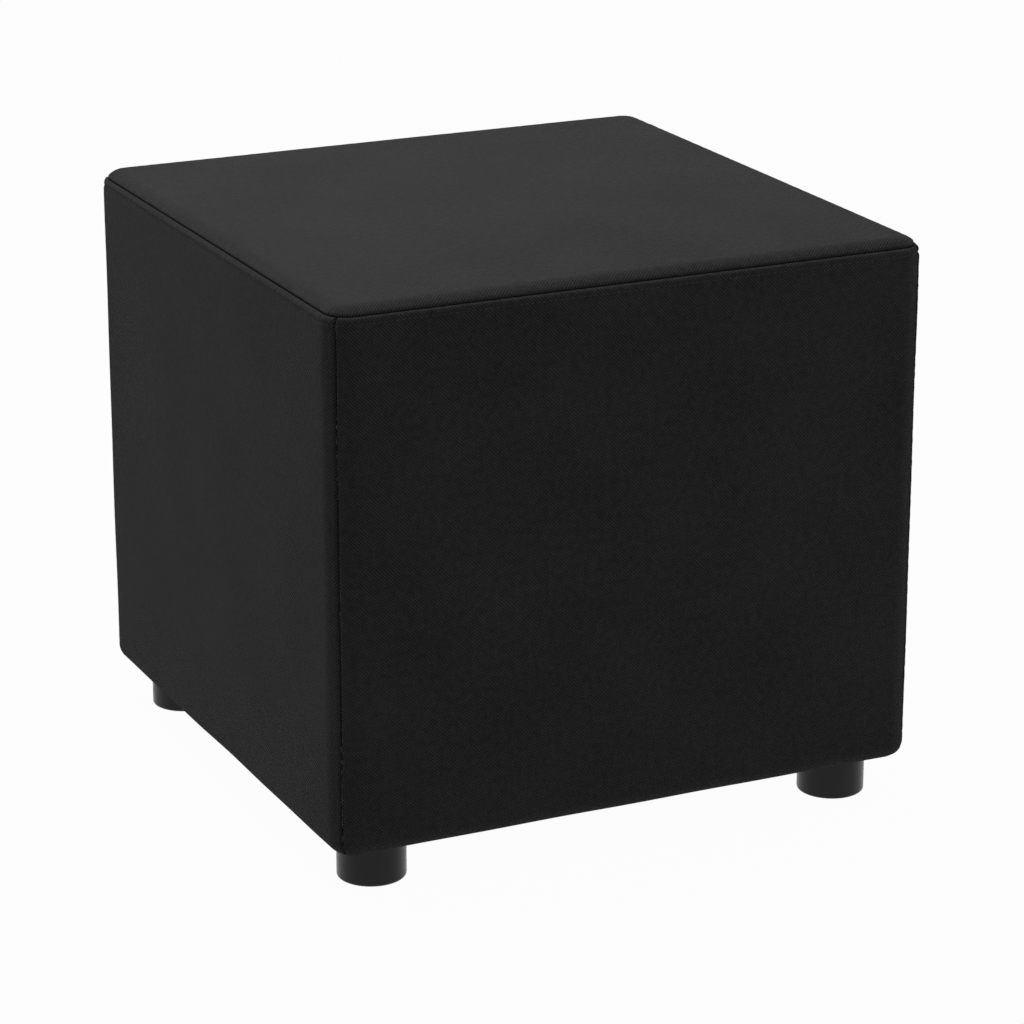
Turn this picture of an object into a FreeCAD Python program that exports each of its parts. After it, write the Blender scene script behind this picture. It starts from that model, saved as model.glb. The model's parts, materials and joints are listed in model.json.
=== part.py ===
"""Storage ottoman: an upholstered cube on four feet, with a padded lid on a fabric hinge.

Millimetres, +Z up. The origin is on the floor, under the middle of the cube. The front is -Y, the
hinge side is +Y. The cover is sewn tight over padded board walls. The lid's top panel meets the side
panels at one seam line on the rounded top edge. A zip closes that line at the front, the two sides
and the back corners, and the straight part of the back is the hinge.
"""

import FreeCAD, Part

import math
import os

from FreeCAD import Vector

# Overall form
WIDTH = 360.0
DEPTH = 360.0
BODY_HEIGHT = 310.0
FOOT_HEIGHT = 25.0
FOOT_DIAMETER = 39.0
FOOT_INSET = 34.0  # cube side to the foot's centre
CORNER_RADIUS = 15.0
TOP_RADIUS = 11.5
BOTTOM_RADIUS = 10.0
SEAM_ANGLE = 53.0  # degrees down the top rounding, from straight up, where the seam runs

# Sheet goods
COVER = 1.2
LINING = 0.6
DUST_COVER = 0.5
HEM_WIDTH = 40.0
DUST_COVER_OVERLAP = 10.0
LAYER_GAP = 0.15  # between layers that lie on each other round a curve

# Frame
WALL = 12.0
WALL_PADDING = 8.8
BASE_BOARD = 12.0
POST = 28.0
LEDGE_WIDTH = 18.0
LEDGE_HEIGHT = 18.0

# Lid
LID_BOARD = 12.0
SEAT_FOAM = 22.0
WADDING = 10.2
WADDING_CORNER_RADIUS = 11.0
WADDING_TOP_RADIUS = 9.0
WADDING_EDGE_STEP = 0.8
LID_SIDE_GAP = 4.5
LID_REST_GAP = 0.3
LID_RIM_GAP = 0.4
HINGE_PROUD = 0.5  # hinge line outside the cover's face

# Zip
ZIP_GAP = 1.0
ZIP_TAPE = 0.5
UPPER_ZIP_TAPE_WIDTH = 8.0
COIL_RADIUS = 0.55
SLIDER_LENGTH = 9.0
SLIDER_WIDTH = 4.4
SLIDER_PLATE = 1.2
SLIDER_INNER_PLATE = 0.7
SLIDER_NECK_LENGTH = 4.0
SLIDER_FACE_GAP = 0.35
SLIDER_FROM_CORNER = 10.0
TAB_LENGTH = 13.0
TAB_WIDTH = 4.0
TAB_THICKNESS = 0.8
TAB_STANDOFF = 1.36  # cube's side to the pin the tab hangs from
TAB_PIN_RADIUS = 0.4
TAB_PIN_CLEARANCE = 0.06
TAB_BARREL_WALL = 0.45
EAR_THICKNESS = 0.7
EAR_GAP = 0.25

# Fasteners
SCREW_RADIUS = 1.8
SCREW_HEAD_RADIUS = 3.6
SCREW_HEAD_HEIGHT = 2.2
SCREW_LENGTH = 30.0
SCREW_CLEARANCE = 0.05
FOOT_SCREW_RADIUS = 2.2
FOOT_SCREW_HEAD_RADIUS = 4.8
FOOT_SCREW_HEAD_HEIGHT = 2.6
FOOT_SCREW_LENGTH = 42.0
FOOT_CROWN = 7.0
FOOT_BORE_RADIUS = 7.5
FOOT_EDGE_RADIUS = 1.5
STAPLE_CROWN = 10.0
STAPLE_WIDTH = 1.0
STAPLE_WIRE = 0.5
STAPLE_LEG = 9.0
STAPLE_CLEARANCE = 0.05
STAPLES_PER_SIDE = 4
LID_STAPLE_INSET = 24.0

FIT = 0.3  # clearance between soft solids that move past each other

# Levels and lines worked out from the sizes above
HALF_X = WIDTH / 2
HALF_Y = DEPTH / 2
BODY_BOTTOM = FOOT_HEIGHT
BODY_TOP = FOOT_HEIGHT + BODY_HEIGHT
FRAME_BOTTOM = BODY_BOTTOM + COVER + 2 * LAYER_GAP
BASE_TOP = FRAME_BOTTOM + BASE_BOARD
WALL_OUT = COVER + WALL_PADDING
WALL_IN = WALL_OUT + WALL
LINING_IN = WALL_IN + LINING
COVER_UNDERSIDE = BODY_TOP - COVER
LID_LINING_RIM = COVER_UNDERSIDE - WADDING - LINING
WALL_TOP = LID_LINING_RIM - LID_RIM_GAP - LINING
LID_BOARD_BOTTOM = LID_LINING_RIM - SEAT_FOAM - LID_BOARD
LEDGE_TOP = LID_BOARD_BOTTOM - LINING - LID_REST_GAP - LINING
SEAM_SIN = math.sin(math.radians(SEAM_ANGLE))
SEAM_COS = math.cos(math.radians(SEAM_ANGLE))
SEAM_IN = TOP_RADIUS * (1 - SEAM_SIN)
SEAM_Z = BODY_TOP - TOP_RADIUS * (1 - SEAM_COS)
SEAM_SLOPE = SEAM_SIN / SEAM_COS
SEAM_SHIFT = ZIP_GAP / 2 / SEAM_COS
SEAM_REACH = 4.0  # how far below the seam its sloping cut starts
COIL_SIDE = ZIP_GAP / 2 + COIL_RADIUS
COIL_DEPTH = COVER + LAYER_GAP + COIL_RADIUS
SLIDER_NECK = ZIP_GAP / 2 - FIT
SLIDER_INSIDE = -COIL_DEPTH - COIL_RADIUS - FIT
SLIDER_REACH = SLIDER_INSIDE - SLIDER_INNER_PLATE
FOOT_X = HALF_X - FOOT_INSET
FOOT_Y = HALF_Y - FOOT_INSET
SIDES = ("front", "back", "left", "right")


def seam_point(n, t):
    """Inset and height of a point by the seam: n outwards from the cover's face, t down along it."""
    return SEAM_IN - n * SEAM_SIN - t * SEAM_COS, SEAM_Z + n * SEAM_COS - t * SEAM_SIN


def lid_edge():
    """Inset of the lid's padded edge, which passes inside the slider."""
    return seam_point(SLIDER_REACH, -SLIDER_NECK)[0] + FIT


def lip_inside():
    """Inset of the inner face of the padding's lip, just outside the lid's edge."""
    return lid_edge() - 2 * FIT


def block(x0, x1, y0, y1, z0, z1):
    """A box between two corners."""
    return Part.makeBox(x1 - x0, y1 - y0, z1 - z0, Vector(x0, y0, z0))


def inset_block(inset, z0, z1):
    """A plain box whose four sides lie inside the cube's by the inset."""
    return block(inset - HALF_X, HALF_X - inset, inset - HALF_Y, HALF_Y - inset, z0, z1)


def inset_ring(outer, inner, z0, z1):
    """A square ring between two insets from the cube's sides."""
    return inset_block(outer, z0, z1).cut(inset_block(inner, z0, z1))


def edges_at(solid, test):
    """The edges whose middle passes the test."""
    return [e for e in solid.Edges if test(e.CenterOfMass)]


def upright_edges(solid):
    """The straight vertical edges."""
    found = []
    for edge in solid.Edges:
        ends = [v.Point for v in edge.Vertexes]
        if len(ends) == 2 and (ends[0].sub(ends[1])).cross(Vector(0, 0, 1)).Length < 1e-6:
            found.append(edge)
    return found


def rounded_block(inset, corner, z0, z1, top, bottom=0.0):
    """A box inside the cube's sides with its upright, top and bottom edges rounded."""
    solid = inset_block(inset, z0, z1)
    solid = solid.makeFillet(corner, upright_edges(solid))
    if top > 0:
        solid = solid.makeFillet(top, edges_at(solid, lambda c: abs(c.z - z1) < 1e-6))
    if bottom > 0:
        solid = solid.makeFillet(bottom, edges_at(solid, lambda c: abs(c.z - z0) < 1e-6))
    return solid


def body_form(inset):
    """The upholstered cube's outer form, made smaller by the inset on every face."""
    return rounded_block(
        inset,
        CORNER_RADIUS - inset,
        BODY_BOTTOM + inset,
        BODY_TOP - inset,
        TOP_RADIUS - inset,
        BOTTOM_RADIUS - inset,
    )


def slab(z0, z1):
    """All the space between two heights."""
    return block(-WIDTH, WIDTH, -DEPTH, DEPTH, z0, z1)


def quarter(side):
    """The prism of space that belongs to one side. Neighbours meet at the cube's corners at 45 degrees."""
    reach = 100.0
    inner = min(HALF_X, HALF_Y)
    flat_x, flat_y = HALF_X - inner, HALF_Y - inner
    if side in ("front", "back"):
        outline = [(-HALF_X - reach, -HALF_Y - reach), (HALF_X + reach, -HALF_Y - reach), (flat_x, -flat_y)]
        if flat_x > 0:
            outline.append((-flat_x, -flat_y))
    else:
        outline = [(-HALF_X - reach, HALF_Y + reach), (-HALF_X - reach, -HALF_Y - reach), (-flat_x, -flat_y)]
        if flat_y > 0:
            outline.append((-flat_x, flat_y))
    turn = {"front": 1, "back": -1, "left": 1, "right": -1}[side]
    points = [Vector(turn * x, turn * y, -reach) for x, y in outline]
    face = Part.Face(Part.makePolygon(points + points[:1]))
    return face.extrude(Vector(0, 0, BODY_TOP + 2 * reach))


def corners():
    """The four corner directions, front left first."""
    return [(sx, sy) for sy in (-1, 1) for sx in (-1, 1)]


def corner_name(sx, sy):
    """A corner's name, such as front_left."""
    return ("front" if sy < 0 else "back") + "_" + ("left" if sx < 0 else "right")


def outward(side):
    """A side's outward direction."""
    return {"front": (0, -1), "back": (0, 1), "left": (-1, 0), "right": (1, 0)}[side]


def on_side(side, along, inset):
    """A plan position on one side: so far along it from its middle, and so far inside its face."""
    ox, oy = outward(side)
    return ox * (HALF_X - inset) + abs(oy) * along, oy * (HALF_Y - inset) + abs(ox) * along


def screw(position, direction, radius, head_radius, head_height, length, countersunk):
    """One wood screw. The position is the middle of the head's outer face."""
    if countersunk:
        head = Part.makeCone(head_radius, radius, head_height, position, direction)
    else:
        head = Part.makeCylinder(head_radius, head_height, position, direction)
    tip = radius * 1.5
    shank = Part.makeCylinder(radius, length - tip, position, direction)
    point = Part.makeCone(radius, radius * 0.2, tip, position + direction * (length - tip), direction)
    return head.fuse(shank).fuse(point).removeSplitter()


def assembly_screw_places():
    """Heads and directions of the identical screws that join the walls, posts, ledges and base."""
    places = []
    post_line = WALL_IN + POST / 2
    for side in SIDES:
        ox, oy = outward(side)
        half = HALF_X if oy else HALF_Y
        shift = 0.0 if oy else 3 * SCREW_HEAD_RADIUS
        low, high = BASE_TOP + POST, LEDGE_TOP - LEDGE_HEIGHT - POST
        for along in (-(half - post_line), half - post_line):
            for level in (low, (low + high) / 2, high):
                places.append((side, along, level + shift))
        for along in (-half / 2, half / 2):
            places.append((side, along, LEDGE_TOP - LEDGE_HEIGHT / 2))
            places.append((side, along, FRAME_BOTTOM + BASE_BOARD / 2))
    return places


def assembly_screws(grow=0.0):
    """The countersunk screws, or with grow their holes."""
    made = []
    for side, along, level in assembly_screw_places():
        ox, oy = outward(side)
        x, y = on_side(side, along, WALL_OUT - grow)
        made.append(
            screw(
                Vector(x, y, level),
                Vector(-ox, -oy, 0),
                SCREW_RADIUS + grow,
                SCREW_HEAD_RADIUS + grow,
                SCREW_HEAD_HEIGHT + grow,
                SCREW_LENGTH + 2 * grow,
                True,
            )
        )
    return Part.makeCompound(made)


def foot_screws(grow=0.0):
    """The screws that go up through the feet into the corner posts, or with grow their holes."""
    made = []
    head_z = FOOT_HEIGHT - FOOT_CROWN - FOOT_SCREW_HEAD_HEIGHT
    for sx, sy in corners():
        made.append(
            screw(
                Vector(sx * FOOT_X, sy * FOOT_Y, head_z - grow),
                Vector(0, 0, 1),
                FOOT_SCREW_RADIUS + grow,
                FOOT_SCREW_HEAD_RADIUS + grow,
                FOOT_SCREW_HEAD_HEIGHT,
                FOOT_SCREW_LENGTH + 2 * grow,
                False,
            )
        )
    return Part.makeCompound(made)


def staple(x, y, z, along_x, grow=0.0):
    """One staple driven upwards. Its crown's underside is at z."""
    half = STAPLE_CROWN / 2
    wide = STAPLE_WIDTH / 2
    g = grow
    crown = block(-half - g, half + g, -wide - g, wide + g, -g, STAPLE_WIRE + g)
    top = STAPLE_WIRE + STAPLE_LEG
    left = block(-half - g, -half + STAPLE_WIRE + g, -wide - g, wide + g, 0, top + g)
    right = block(half - STAPLE_WIRE - g, half + g, -wide - g, wide + g, 0, top + g)
    solid = crown.fuse([left, right]).removeSplitter()
    if not along_x:
        solid.rotate(Vector(0, 0, 0), Vector(0, 0, 1), 90)
    solid.translate(Vector(x, y, z))
    return solid


def staple_row(inset, z, grow=0.0):
    """Staples in a line parallel to each side, clear of the feet."""
    made = []
    for side in SIDES:
        oy = outward(side)[1]
        run = (FOOT_X if oy else FOOT_Y) - FOOT_DIAMETER
        for i in range(STAPLES_PER_SIDE):
            along = -run + 2 * run * i / (STAPLES_PER_SIDE - 1)
            x, y = on_side(side, along, inset)
            made.append(staple(x, y, z, bool(oy), grow))
    return Part.makeCompound(made)


def hem_staples(grow=0.0):
    """The staples that hold the cover's turned-under hem to the base board."""
    return staple_row(WALL_IN + STAPLE_WIDTH + STAPLE_WIRE, BODY_BOTTOM - STAPLE_WIRE, grow)


def dust_cover_staples(grow=0.0):
    """The staples that hold the dust cover to the base board."""
    inset = HEM_WIDTH - DUST_COVER_OVERLAP / 2
    return staple_row(inset, BODY_BOTTOM - DUST_COVER - STAPLE_WIRE, grow)


def lid_staples(grow=0.0):
    """The staples that hold the lid's lining to its board, clear of the ledge."""
    inset = WALL_IN + LEDGE_WIDTH + LID_STAPLE_INSET
    return staple_row(inset, LID_BOARD_BOTTOM - LINING - STAPLE_WIRE, grow)


def foot(sx, sy):
    """A moulded round foot with its screw's recess underneath."""
    solid = Part.makeCylinder(FOOT_DIAMETER / 2, FOOT_HEIGHT)
    low = edges_at(solid, lambda c: abs(c.z) < 1e-6)
    solid = solid.makeFillet(FOOT_EDGE_RADIUS, low)
    solid = solid.cut(Part.makeCylinder(FOOT_BORE_RADIUS, FOOT_HEIGHT - FOOT_CROWN))
    solid.translate(Vector(sx * FOOT_X, sy * FOOT_Y, 0))
    return solid.cut(foot_screws(SCREW_CLEARANCE))


def make_feet():
    """The four feet, each in its own node."""
    return {"foot_" + corner_name(sx, sy): foot(sx, sy) for sx, sy in corners()}


def make_frame():
    """The board walls, base board, corner posts and lid ledges."""
    holes = assembly_screws(SCREW_CLEARANCE)
    xo, xi = HALF_X - WALL_OUT, HALF_X - WALL_IN
    yo, yi = HALF_Y - WALL_OUT, HALF_Y - WALL_IN
    z0, z1 = FRAME_BOTTOM, WALL_TOP
    base = block(-xi, xi, -yi, yi, z0, BASE_TOP)
    for cutter in (holes, foot_screws(SCREW_CLEARANCE), hem_staples(STAPLE_CLEARANCE),
                   dust_cover_staples(STAPLE_CLEARANCE)):
        base = base.cut(cutter)
    posts = []
    for sx, sy in corners():
        cx, cy = sx * (xi - POST / 2), sy * (yi - POST / 2)
        posts.append(block(cx - POST / 2, cx + POST / 2, cy - POST / 2, cy + POST / 2, BASE_TOP, LEDGE_TOP))
    ledges = []
    for sign in (-1, 1):
        y_in, y_out = sorted((sign * (yi - LEDGE_WIDTH), sign * yi))
        x_in, x_out = sorted((sign * (xi - LEDGE_WIDTH), sign * xi))
        low = LEDGE_TOP - LEDGE_HEIGHT
        ledges.append(block(POST - xi, xi - POST, y_in, y_out, low, LEDGE_TOP))
        ledges.append(block(x_in, x_out, POST - yi, yi - POST, low, LEDGE_TOP))
    posts = Part.makeCompound(posts).cut(holes).cut(foot_screws(SCREW_CLEARANCE))
    return {
        "front_wall": block(-xo, xo, -yo, -yi, z0, z1).cut(holes),
        "back_wall": block(-xo, xo, yi, yo, z0, z1).cut(holes),
        "left_wall": block(-xo, -xi, -yi, yi, z0, z1).cut(holes),
        "right_wall": block(xi, xo, -yi, yi, z0, z1).cut(holes),
        "base_board": base,
        "corner_posts": posts,
        "lid_ledges": Part.makeCompound(ledges).cut(holes),
    }


def make_padding():
    """The foam glued to the walls. A low lip of it fills out the cover's rounded top edge."""
    body = body_form(COVER + LAYER_GAP).common(slab(FRAME_BOTTOM, WALL_TOP))
    body = body.cut(inset_block(WALL_OUT, 0, BODY_TOP))
    lip_inset = COVER + ZIP_TAPE + 2 * LAYER_GAP
    lip_top = seam_point(SLIDER_REACH, SLIDER_WIDTH / 2)[1] - FIT
    lip = body_form(lip_inset).common(slab(WALL_TOP, lip_top))
    lip = lip.cut(inset_block(lip_inside(), 0, BODY_TOP))
    ring = body.fuse(lip).removeSplitter()
    return {side + "_padding": ring.common(quarter(side)) for side in SIDES}


def cover_shell():
    """The whole cover as one skin, before it is cut into panels."""
    return body_form(0.0).cut(body_form(COVER))


def seam_funnel(shift):
    """The space inside the top seam, its side square to the cover's face there, moved in by the shift."""
    outlines = []
    for z in (SEAM_Z - SEAM_REACH, BODY_TOP + SEAM_REACH):
        inset = SEAM_IN + shift - (z - SEAM_Z) * SEAM_SLOPE
        solid = rounded_block(inset, CORNER_RADIUS - inset, z, z + 1, 0)
        low_face = min(solid.Faces, key=lambda f: f.CenterOfMass.z)
        outlines.append(low_face.OuterWire)
    return Part.makeLoft(outlines, True, True)


def make_side_covers():
    """The four side panels, from the top seam down and turned under the base as a stapled hem."""
    skin = cover_shell().cut(seam_funnel(-SEAM_SHIFT))
    skin = skin.cut(inset_block(HEM_WIDTH, 0, BASE_TOP))
    for cutter in (foot_screws(SCREW_CLEARANCE), hem_staples(STAPLE_CLEARANCE),
                   dust_cover_staples(STAPLE_CLEARANCE)):
        skin = skin.cut(cutter)
    return {"cover_" + side: skin.common(quarter(side)) for side in SIDES}


def make_dust_cover():
    """The sheet that closes the underside, cut out round the feet."""
    inset = HEM_WIDTH - DUST_COVER_OVERLAP
    sheet = inset_block(inset, BODY_BOTTOM - DUST_COVER, BODY_BOTTOM)
    for sx, sy in corners():
        middle = Vector(sx * FOOT_X, sy * FOOT_Y, BODY_BOTTOM - DUST_COVER)
        sheet = sheet.cut(Part.makeCylinder(FOOT_DIAMETER / 2 + FIT, 2 * DUST_COVER, middle))
    return sheet.cut(dust_cover_staples(STAPLE_CLEARANCE))


def storage_void(grow):
    """The storage space's form between walls, posts and ledges, with each of them grown."""
    void = inset_block(WALL_IN + grow, BASE_TOP + LINING, WALL_TOP)
    for sx, sy in corners():
        x0, x1 = sorted((sx * (HALF_X - WALL_IN - POST - grow), sx * HALF_X))
        y0, y1 = sorted((sy * (HALF_Y - WALL_IN - POST - grow), sy * HALF_Y))
        void = void.cut(block(x0, x1, y0, y1, 0, LEDGE_TOP + grow))
    low, high = LEDGE_TOP - LEDGE_HEIGHT - grow, LEDGE_TOP + grow
    return void.cut(inset_ring(0, WALL_IN + LEDGE_WIDTH + grow, low, high))


def make_linings():
    """The storage space's lining, its floor, and the facing over the wall tops."""
    wall_lining = storage_void(0.0).cut(storage_void(LINING))
    floor = inset_block(WALL_IN, BASE_TOP, BASE_TOP + LINING)
    for sx, sy in corners():
        x0, x1 = sorted((sx * (HALF_X - WALL_IN - POST), sx * HALF_X))
        y0, y1 = sorted((sy * (HALF_Y - WALL_IN - POST), sy * HALF_Y))
        floor = floor.cut(block(x0, x1, y0, y1, 0, BODY_TOP))
    lip_inset = lip_inside()
    facing = rounded_block(lip_inset, CORNER_RADIUS - lip_inset, WALL_TOP, WALL_TOP + LINING, 0)
    facing = facing.cut(inset_block(LINING_IN, WALL_TOP, WALL_TOP + LINING))
    return {"storage_lining": wall_lining, "floor_lining": floor, "rim_facing": facing}


def make_lid():
    """The lid's board, foam, wadding, lining and top panel."""
    block_inset = LINING_IN + LID_SIDE_GAP
    inner = block_inset + LINING
    rim = lid_edge()
    tray = inset_block(block_inset, LID_BOARD_BOTTOM - LINING, LID_LINING_RIM)
    flange = rounded_block(rim, WADDING_CORNER_RADIUS, LID_LINING_RIM, LID_LINING_RIM + LINING, 0)
    lining = tray.fuse(flange).cut(inset_block(inner, LID_BOARD_BOTTOM, LID_LINING_RIM + LINING))
    lining = lining.cut(lid_staples(STAPLE_CLEARANCE))
    board_top = LID_BOARD_BOTTOM + LID_BOARD
    board = inset_block(inner, LID_BOARD_BOTTOM, board_top).cut(lid_staples(STAPLE_CLEARANCE))
    foam = inset_block(inner, board_top, LID_LINING_RIM + LINING)
    low, high = LID_LINING_RIM + LINING, COVER_UNDERSIDE
    wadding = rounded_block(rim, WADDING_CORNER_RADIUS, low, high - WADDING_EDGE_STEP, WADDING_TOP_RADIUS)
    crown_inset = SEAM_IN + UPPER_ZIP_TAPE_WIDTH + TOP_RADIUS - WADDING_TOP_RADIUS
    crown = rounded_block(crown_inset, CORNER_RADIUS / 3, low, high, 0)
    return {
        "lid_lining": lining,
        "lid_board": board,
        "seat_foam": foam,
        "seat_wadding": wadding.fuse(crown).removeSplitter(),
        "cover_top": cover_shell().common(seam_funnel(SEAM_SHIFT)),
    }


def coil(t):
    """A zip coil as a round bead from one back corner round the front to the other."""
    inset, z = seam_point(-COIL_DEPTH, t)
    radius = CORNER_RADIUS - inset
    x, y = HALF_X - inset, HALF_Y - inset
    bend = radius * math.sqrt(0.5)

    def corner_arc(sx, sy, first, last):
        cx, cy = sx * (x - radius), sy * (y - radius)
        middle = Vector(cx + sx * bend, cy + sy * bend, z)
        return Part.Arc(Vector(cx + first[0] * radius, cy + first[1] * radius, z), middle,
                        Vector(cx + last[0] * radius, cy + last[1] * radius, z)).toShape()

    def run(x0, y0, x1, y1):
        return Part.LineSegment(Vector(x0, y0, z), Vector(x1, y1, z)).toShape()

    path = Part.Wire([
        corner_arc(-1, 1, (0, 1), (-1, 0)),
        run(-x, y - radius, -x, radius - y),
        corner_arc(-1, -1, (-1, 0), (0, -1)),
        run(radius - x, -y, x - radius, -y),
        corner_arc(1, -1, (0, -1), (1, 0)),
        run(x, radius - y, x, y - radius),
        corner_arc(1, 1, (1, 0), (0, 1)),
    ])
    section = Part.Wire(Part.makeCircle(COIL_RADIUS, Vector(radius - x, y, z), Vector(1, 0, 0)))
    return path.makePipeShell([section], True, False)


def hinge_stretch():
    """The space along the straight back seam, where the zip doesn't run."""
    run = HALF_X - CORNER_RADIUS
    return block(-run, run, 0, DEPTH, 0, 2 * BODY_TOP)


def make_zip():
    """The zip's two tapes with their coils, and its end stops."""
    outer = COVER + LAYER_GAP
    tape_skin = body_form(outer).cut(body_form(outer + ZIP_TAPE)).cut(hinge_stretch())
    lower_top = SEAM_Z - COIL_SIDE - COIL_RADIUS - 2 * COIL_RADIUS
    lower = tape_skin.common(slab(WALL_TOP + LAYER_GAP, lower_top))
    upper = tape_skin.common(slab(SEAM_Z + COIL_RADIUS, 2 * BODY_TOP))
    upper = upper.cut(inset_block(SEAM_IN + UPPER_ZIP_TAPE_WIDTH, 0, 2 * BODY_TOP))
    inset, z = seam_point(-COIL_DEPTH, COIL_SIDE)
    run, y = HALF_X - CORNER_RADIUS, HALF_Y - inset
    stops = []
    for sx in (-1, 1):
        x0, x1 = sorted((sx * run, sx * (run - 4 * COIL_RADIUS)))
        stops.append(Part.makeCylinder(COIL_RADIUS, x1 - x0, Vector(x0, y, z), Vector(1, 0, 0)))
    return {
        "lower_zip_tape": lower,
        "upper_zip_tape": upper,
        "lower_zip_coil": coil(COIL_SIDE),
        "upper_zip_coil": coil(-COIL_SIDE),
        "zip_end_stops": Part.makeCompound(stops),
    }


def seam_plate(n0, n1, t0, t1, y0, y1):
    """A block by the right-hand seam, square to the cover's face there."""
    corners_nt = [(n0, t0), (n1, t0), (n1, t1), (n0, t1)]
    points = []
    for n, t in corners_nt:
        inset, z = seam_point(n, t)
        points.append(Vector(HALF_X - inset, y0, z))
    face = Part.Face(Part.makePolygon(points + points[:1]))
    return face.extrude(Vector(0, y1 - y0, 0))


def tab_drop():
    """Distance down the cover's face from the seam to the pull tab's pin, which clears the cube's side."""
    return (SEAM_IN - SLIDER_FACE_GAP * SEAM_SIN + TAB_STANDOFF) / SEAM_COS


def tab_axis():
    """Position of the pull tab's pin: x and z, and the slider's middle along the side."""
    z = seam_point(SLIDER_FACE_GAP, tab_drop())[1]
    return HALF_X + TAB_STANDOFF, z, HALF_Y - CORNER_RADIUS - SLIDER_FROM_CORNER - SLIDER_LENGTH / 2


def make_slider():
    """The zip's slider, which grips the lower coil, and its pull tab, which hangs from it."""
    x, z, y = tab_axis()
    half = SLIDER_LENGTH / 2
    top = SLIDER_FACE_GAP + SLIDER_PLATE
    half_neck = SLIDER_NECK_LENGTH / 2
    outer = seam_plate(SLIDER_FACE_GAP, top, -SLIDER_NECK, SLIDER_WIDTH, y - half, y + half)
    neck = seam_plate(SLIDER_INSIDE, SLIDER_FACE_GAP, -SLIDER_NECK, SLIDER_NECK, y - half_neck, y + half_neck)
    under = seam_plate(SLIDER_REACH, SLIDER_INSIDE, -SLIDER_NECK, SLIDER_WIDTH / 2, y - half, y + half)
    slider = outer.fuse([neck, under])
    ear_in = TAB_WIDTH / 2 + EAR_GAP
    barrel = TAB_PIN_RADIUS + TAB_PIN_CLEARANCE + TAB_BARREL_WALL
    for sign in (-1, 1):
        y0, y1 = sorted((y + sign * ear_in, y + sign * (ear_in + EAR_THICKNESS)))
        ear = Part.makeCylinder(2 * TAB_PIN_RADIUS, EAR_THICKNESS, Vector(x, y0, z), Vector(0, 1, 0))
        arm = seam_plate(SLIDER_FACE_GAP, top, SLIDER_WIDTH / 2, tab_drop(), y0, y1)
        slider = slider.fuse([ear, arm])
    pin_half = ear_in + EAR_THICKNESS
    pin = Part.makeCylinder(TAB_PIN_RADIUS, 2 * pin_half, Vector(x, y - pin_half, z), Vector(0, 1, 0))
    slider = slider.fuse(pin).removeSplitter()

    start = Vector(x, y - TAB_WIDTH / 2, z)
    across = TAB_THICKNESS / 2
    tab = Part.makeCylinder(barrel, TAB_WIDTH, start, Vector(0, 1, 0))
    tab = tab.fuse(block(x - across, x + across, y - TAB_WIDTH / 2, y + TAB_WIDTH / 2, z - TAB_LENGTH, z))
    bore = Part.makeCylinder(TAB_PIN_RADIUS + TAB_PIN_CLEARANCE, TAB_WIDTH, start, Vector(0, 1, 0))
    return {"zip_slider": slider, "zip_pull_tab": tab.cut(bore).removeSplitter()}


def make_all():
    """Every sub-part, by node name."""
    nodes = make_feet()
    nodes.update(make_frame())
    nodes.update(make_padding())
    nodes.update(make_side_covers())
    nodes["dust_cover"] = make_dust_cover()
    nodes.update(make_linings())
    nodes.update(make_lid())
    nodes.update(make_zip())
    nodes.update(make_slider())
    nodes["assembly_screws"] = assembly_screws()
    nodes["foot_screws"] = foot_screws()
    nodes["hem_staples"] = hem_staples()
    nodes["dust_cover_staples"] = dust_cover_staples()
    nodes["lid_staples"] = lid_staples()
    return nodes


def main():
    """Write each sub-part to its own STEP file."""
    os.makedirs("parts", exist_ok=True)
    for name, shape in make_all().items():
        if not shape.isValid() or not shape.Solids:
            raise ValueError(name + " is not a valid solid")
        shape.exportStep("parts/" + name + ".step")
        print(name, len(shape.Solids), round(shape.Volume, 1))
    x, z, y = tab_axis()
    print("hinge axis y", HALF_Y - SEAM_IN + HINGE_PROUD * SEAM_SIN, "z", SEAM_Z + HINGE_PROUD * SEAM_COS)
    print("tab axis", x, y, z)


main()
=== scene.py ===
"""Storage ottoman: the finished look of an upholstered cube with a padded, zipped lid.

The frame gives the carcass, feet, fasteners and joints. This script dresses them: the twill cover with
its seams, the linings, the foam, the zip's coils and tapes, and the materials of every piece.
Lengths are metres, +Z is up and the front is -Y.
"""

import json
import logging
import math
from dataclasses import dataclass
from enum import Enum

import bpy
import numpy as np
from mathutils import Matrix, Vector


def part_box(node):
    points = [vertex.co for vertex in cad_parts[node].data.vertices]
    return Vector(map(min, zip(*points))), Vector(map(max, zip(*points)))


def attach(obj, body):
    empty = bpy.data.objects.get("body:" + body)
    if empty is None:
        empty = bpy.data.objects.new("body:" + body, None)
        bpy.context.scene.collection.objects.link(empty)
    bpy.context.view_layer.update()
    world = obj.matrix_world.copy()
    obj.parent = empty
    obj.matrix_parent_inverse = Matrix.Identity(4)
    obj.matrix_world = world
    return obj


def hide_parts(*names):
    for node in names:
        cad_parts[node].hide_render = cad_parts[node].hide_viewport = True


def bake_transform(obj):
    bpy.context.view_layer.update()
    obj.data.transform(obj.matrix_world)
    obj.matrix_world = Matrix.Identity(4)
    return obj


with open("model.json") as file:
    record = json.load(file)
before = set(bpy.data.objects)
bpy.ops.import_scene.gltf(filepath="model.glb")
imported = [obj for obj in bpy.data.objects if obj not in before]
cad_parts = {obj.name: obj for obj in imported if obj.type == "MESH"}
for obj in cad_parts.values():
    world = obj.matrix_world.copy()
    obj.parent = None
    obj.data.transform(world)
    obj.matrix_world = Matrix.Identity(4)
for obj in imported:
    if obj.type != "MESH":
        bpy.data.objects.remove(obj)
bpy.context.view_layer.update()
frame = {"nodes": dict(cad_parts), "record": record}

LOG = logging.getLogger("ottoman")
MM = 0.001


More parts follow.
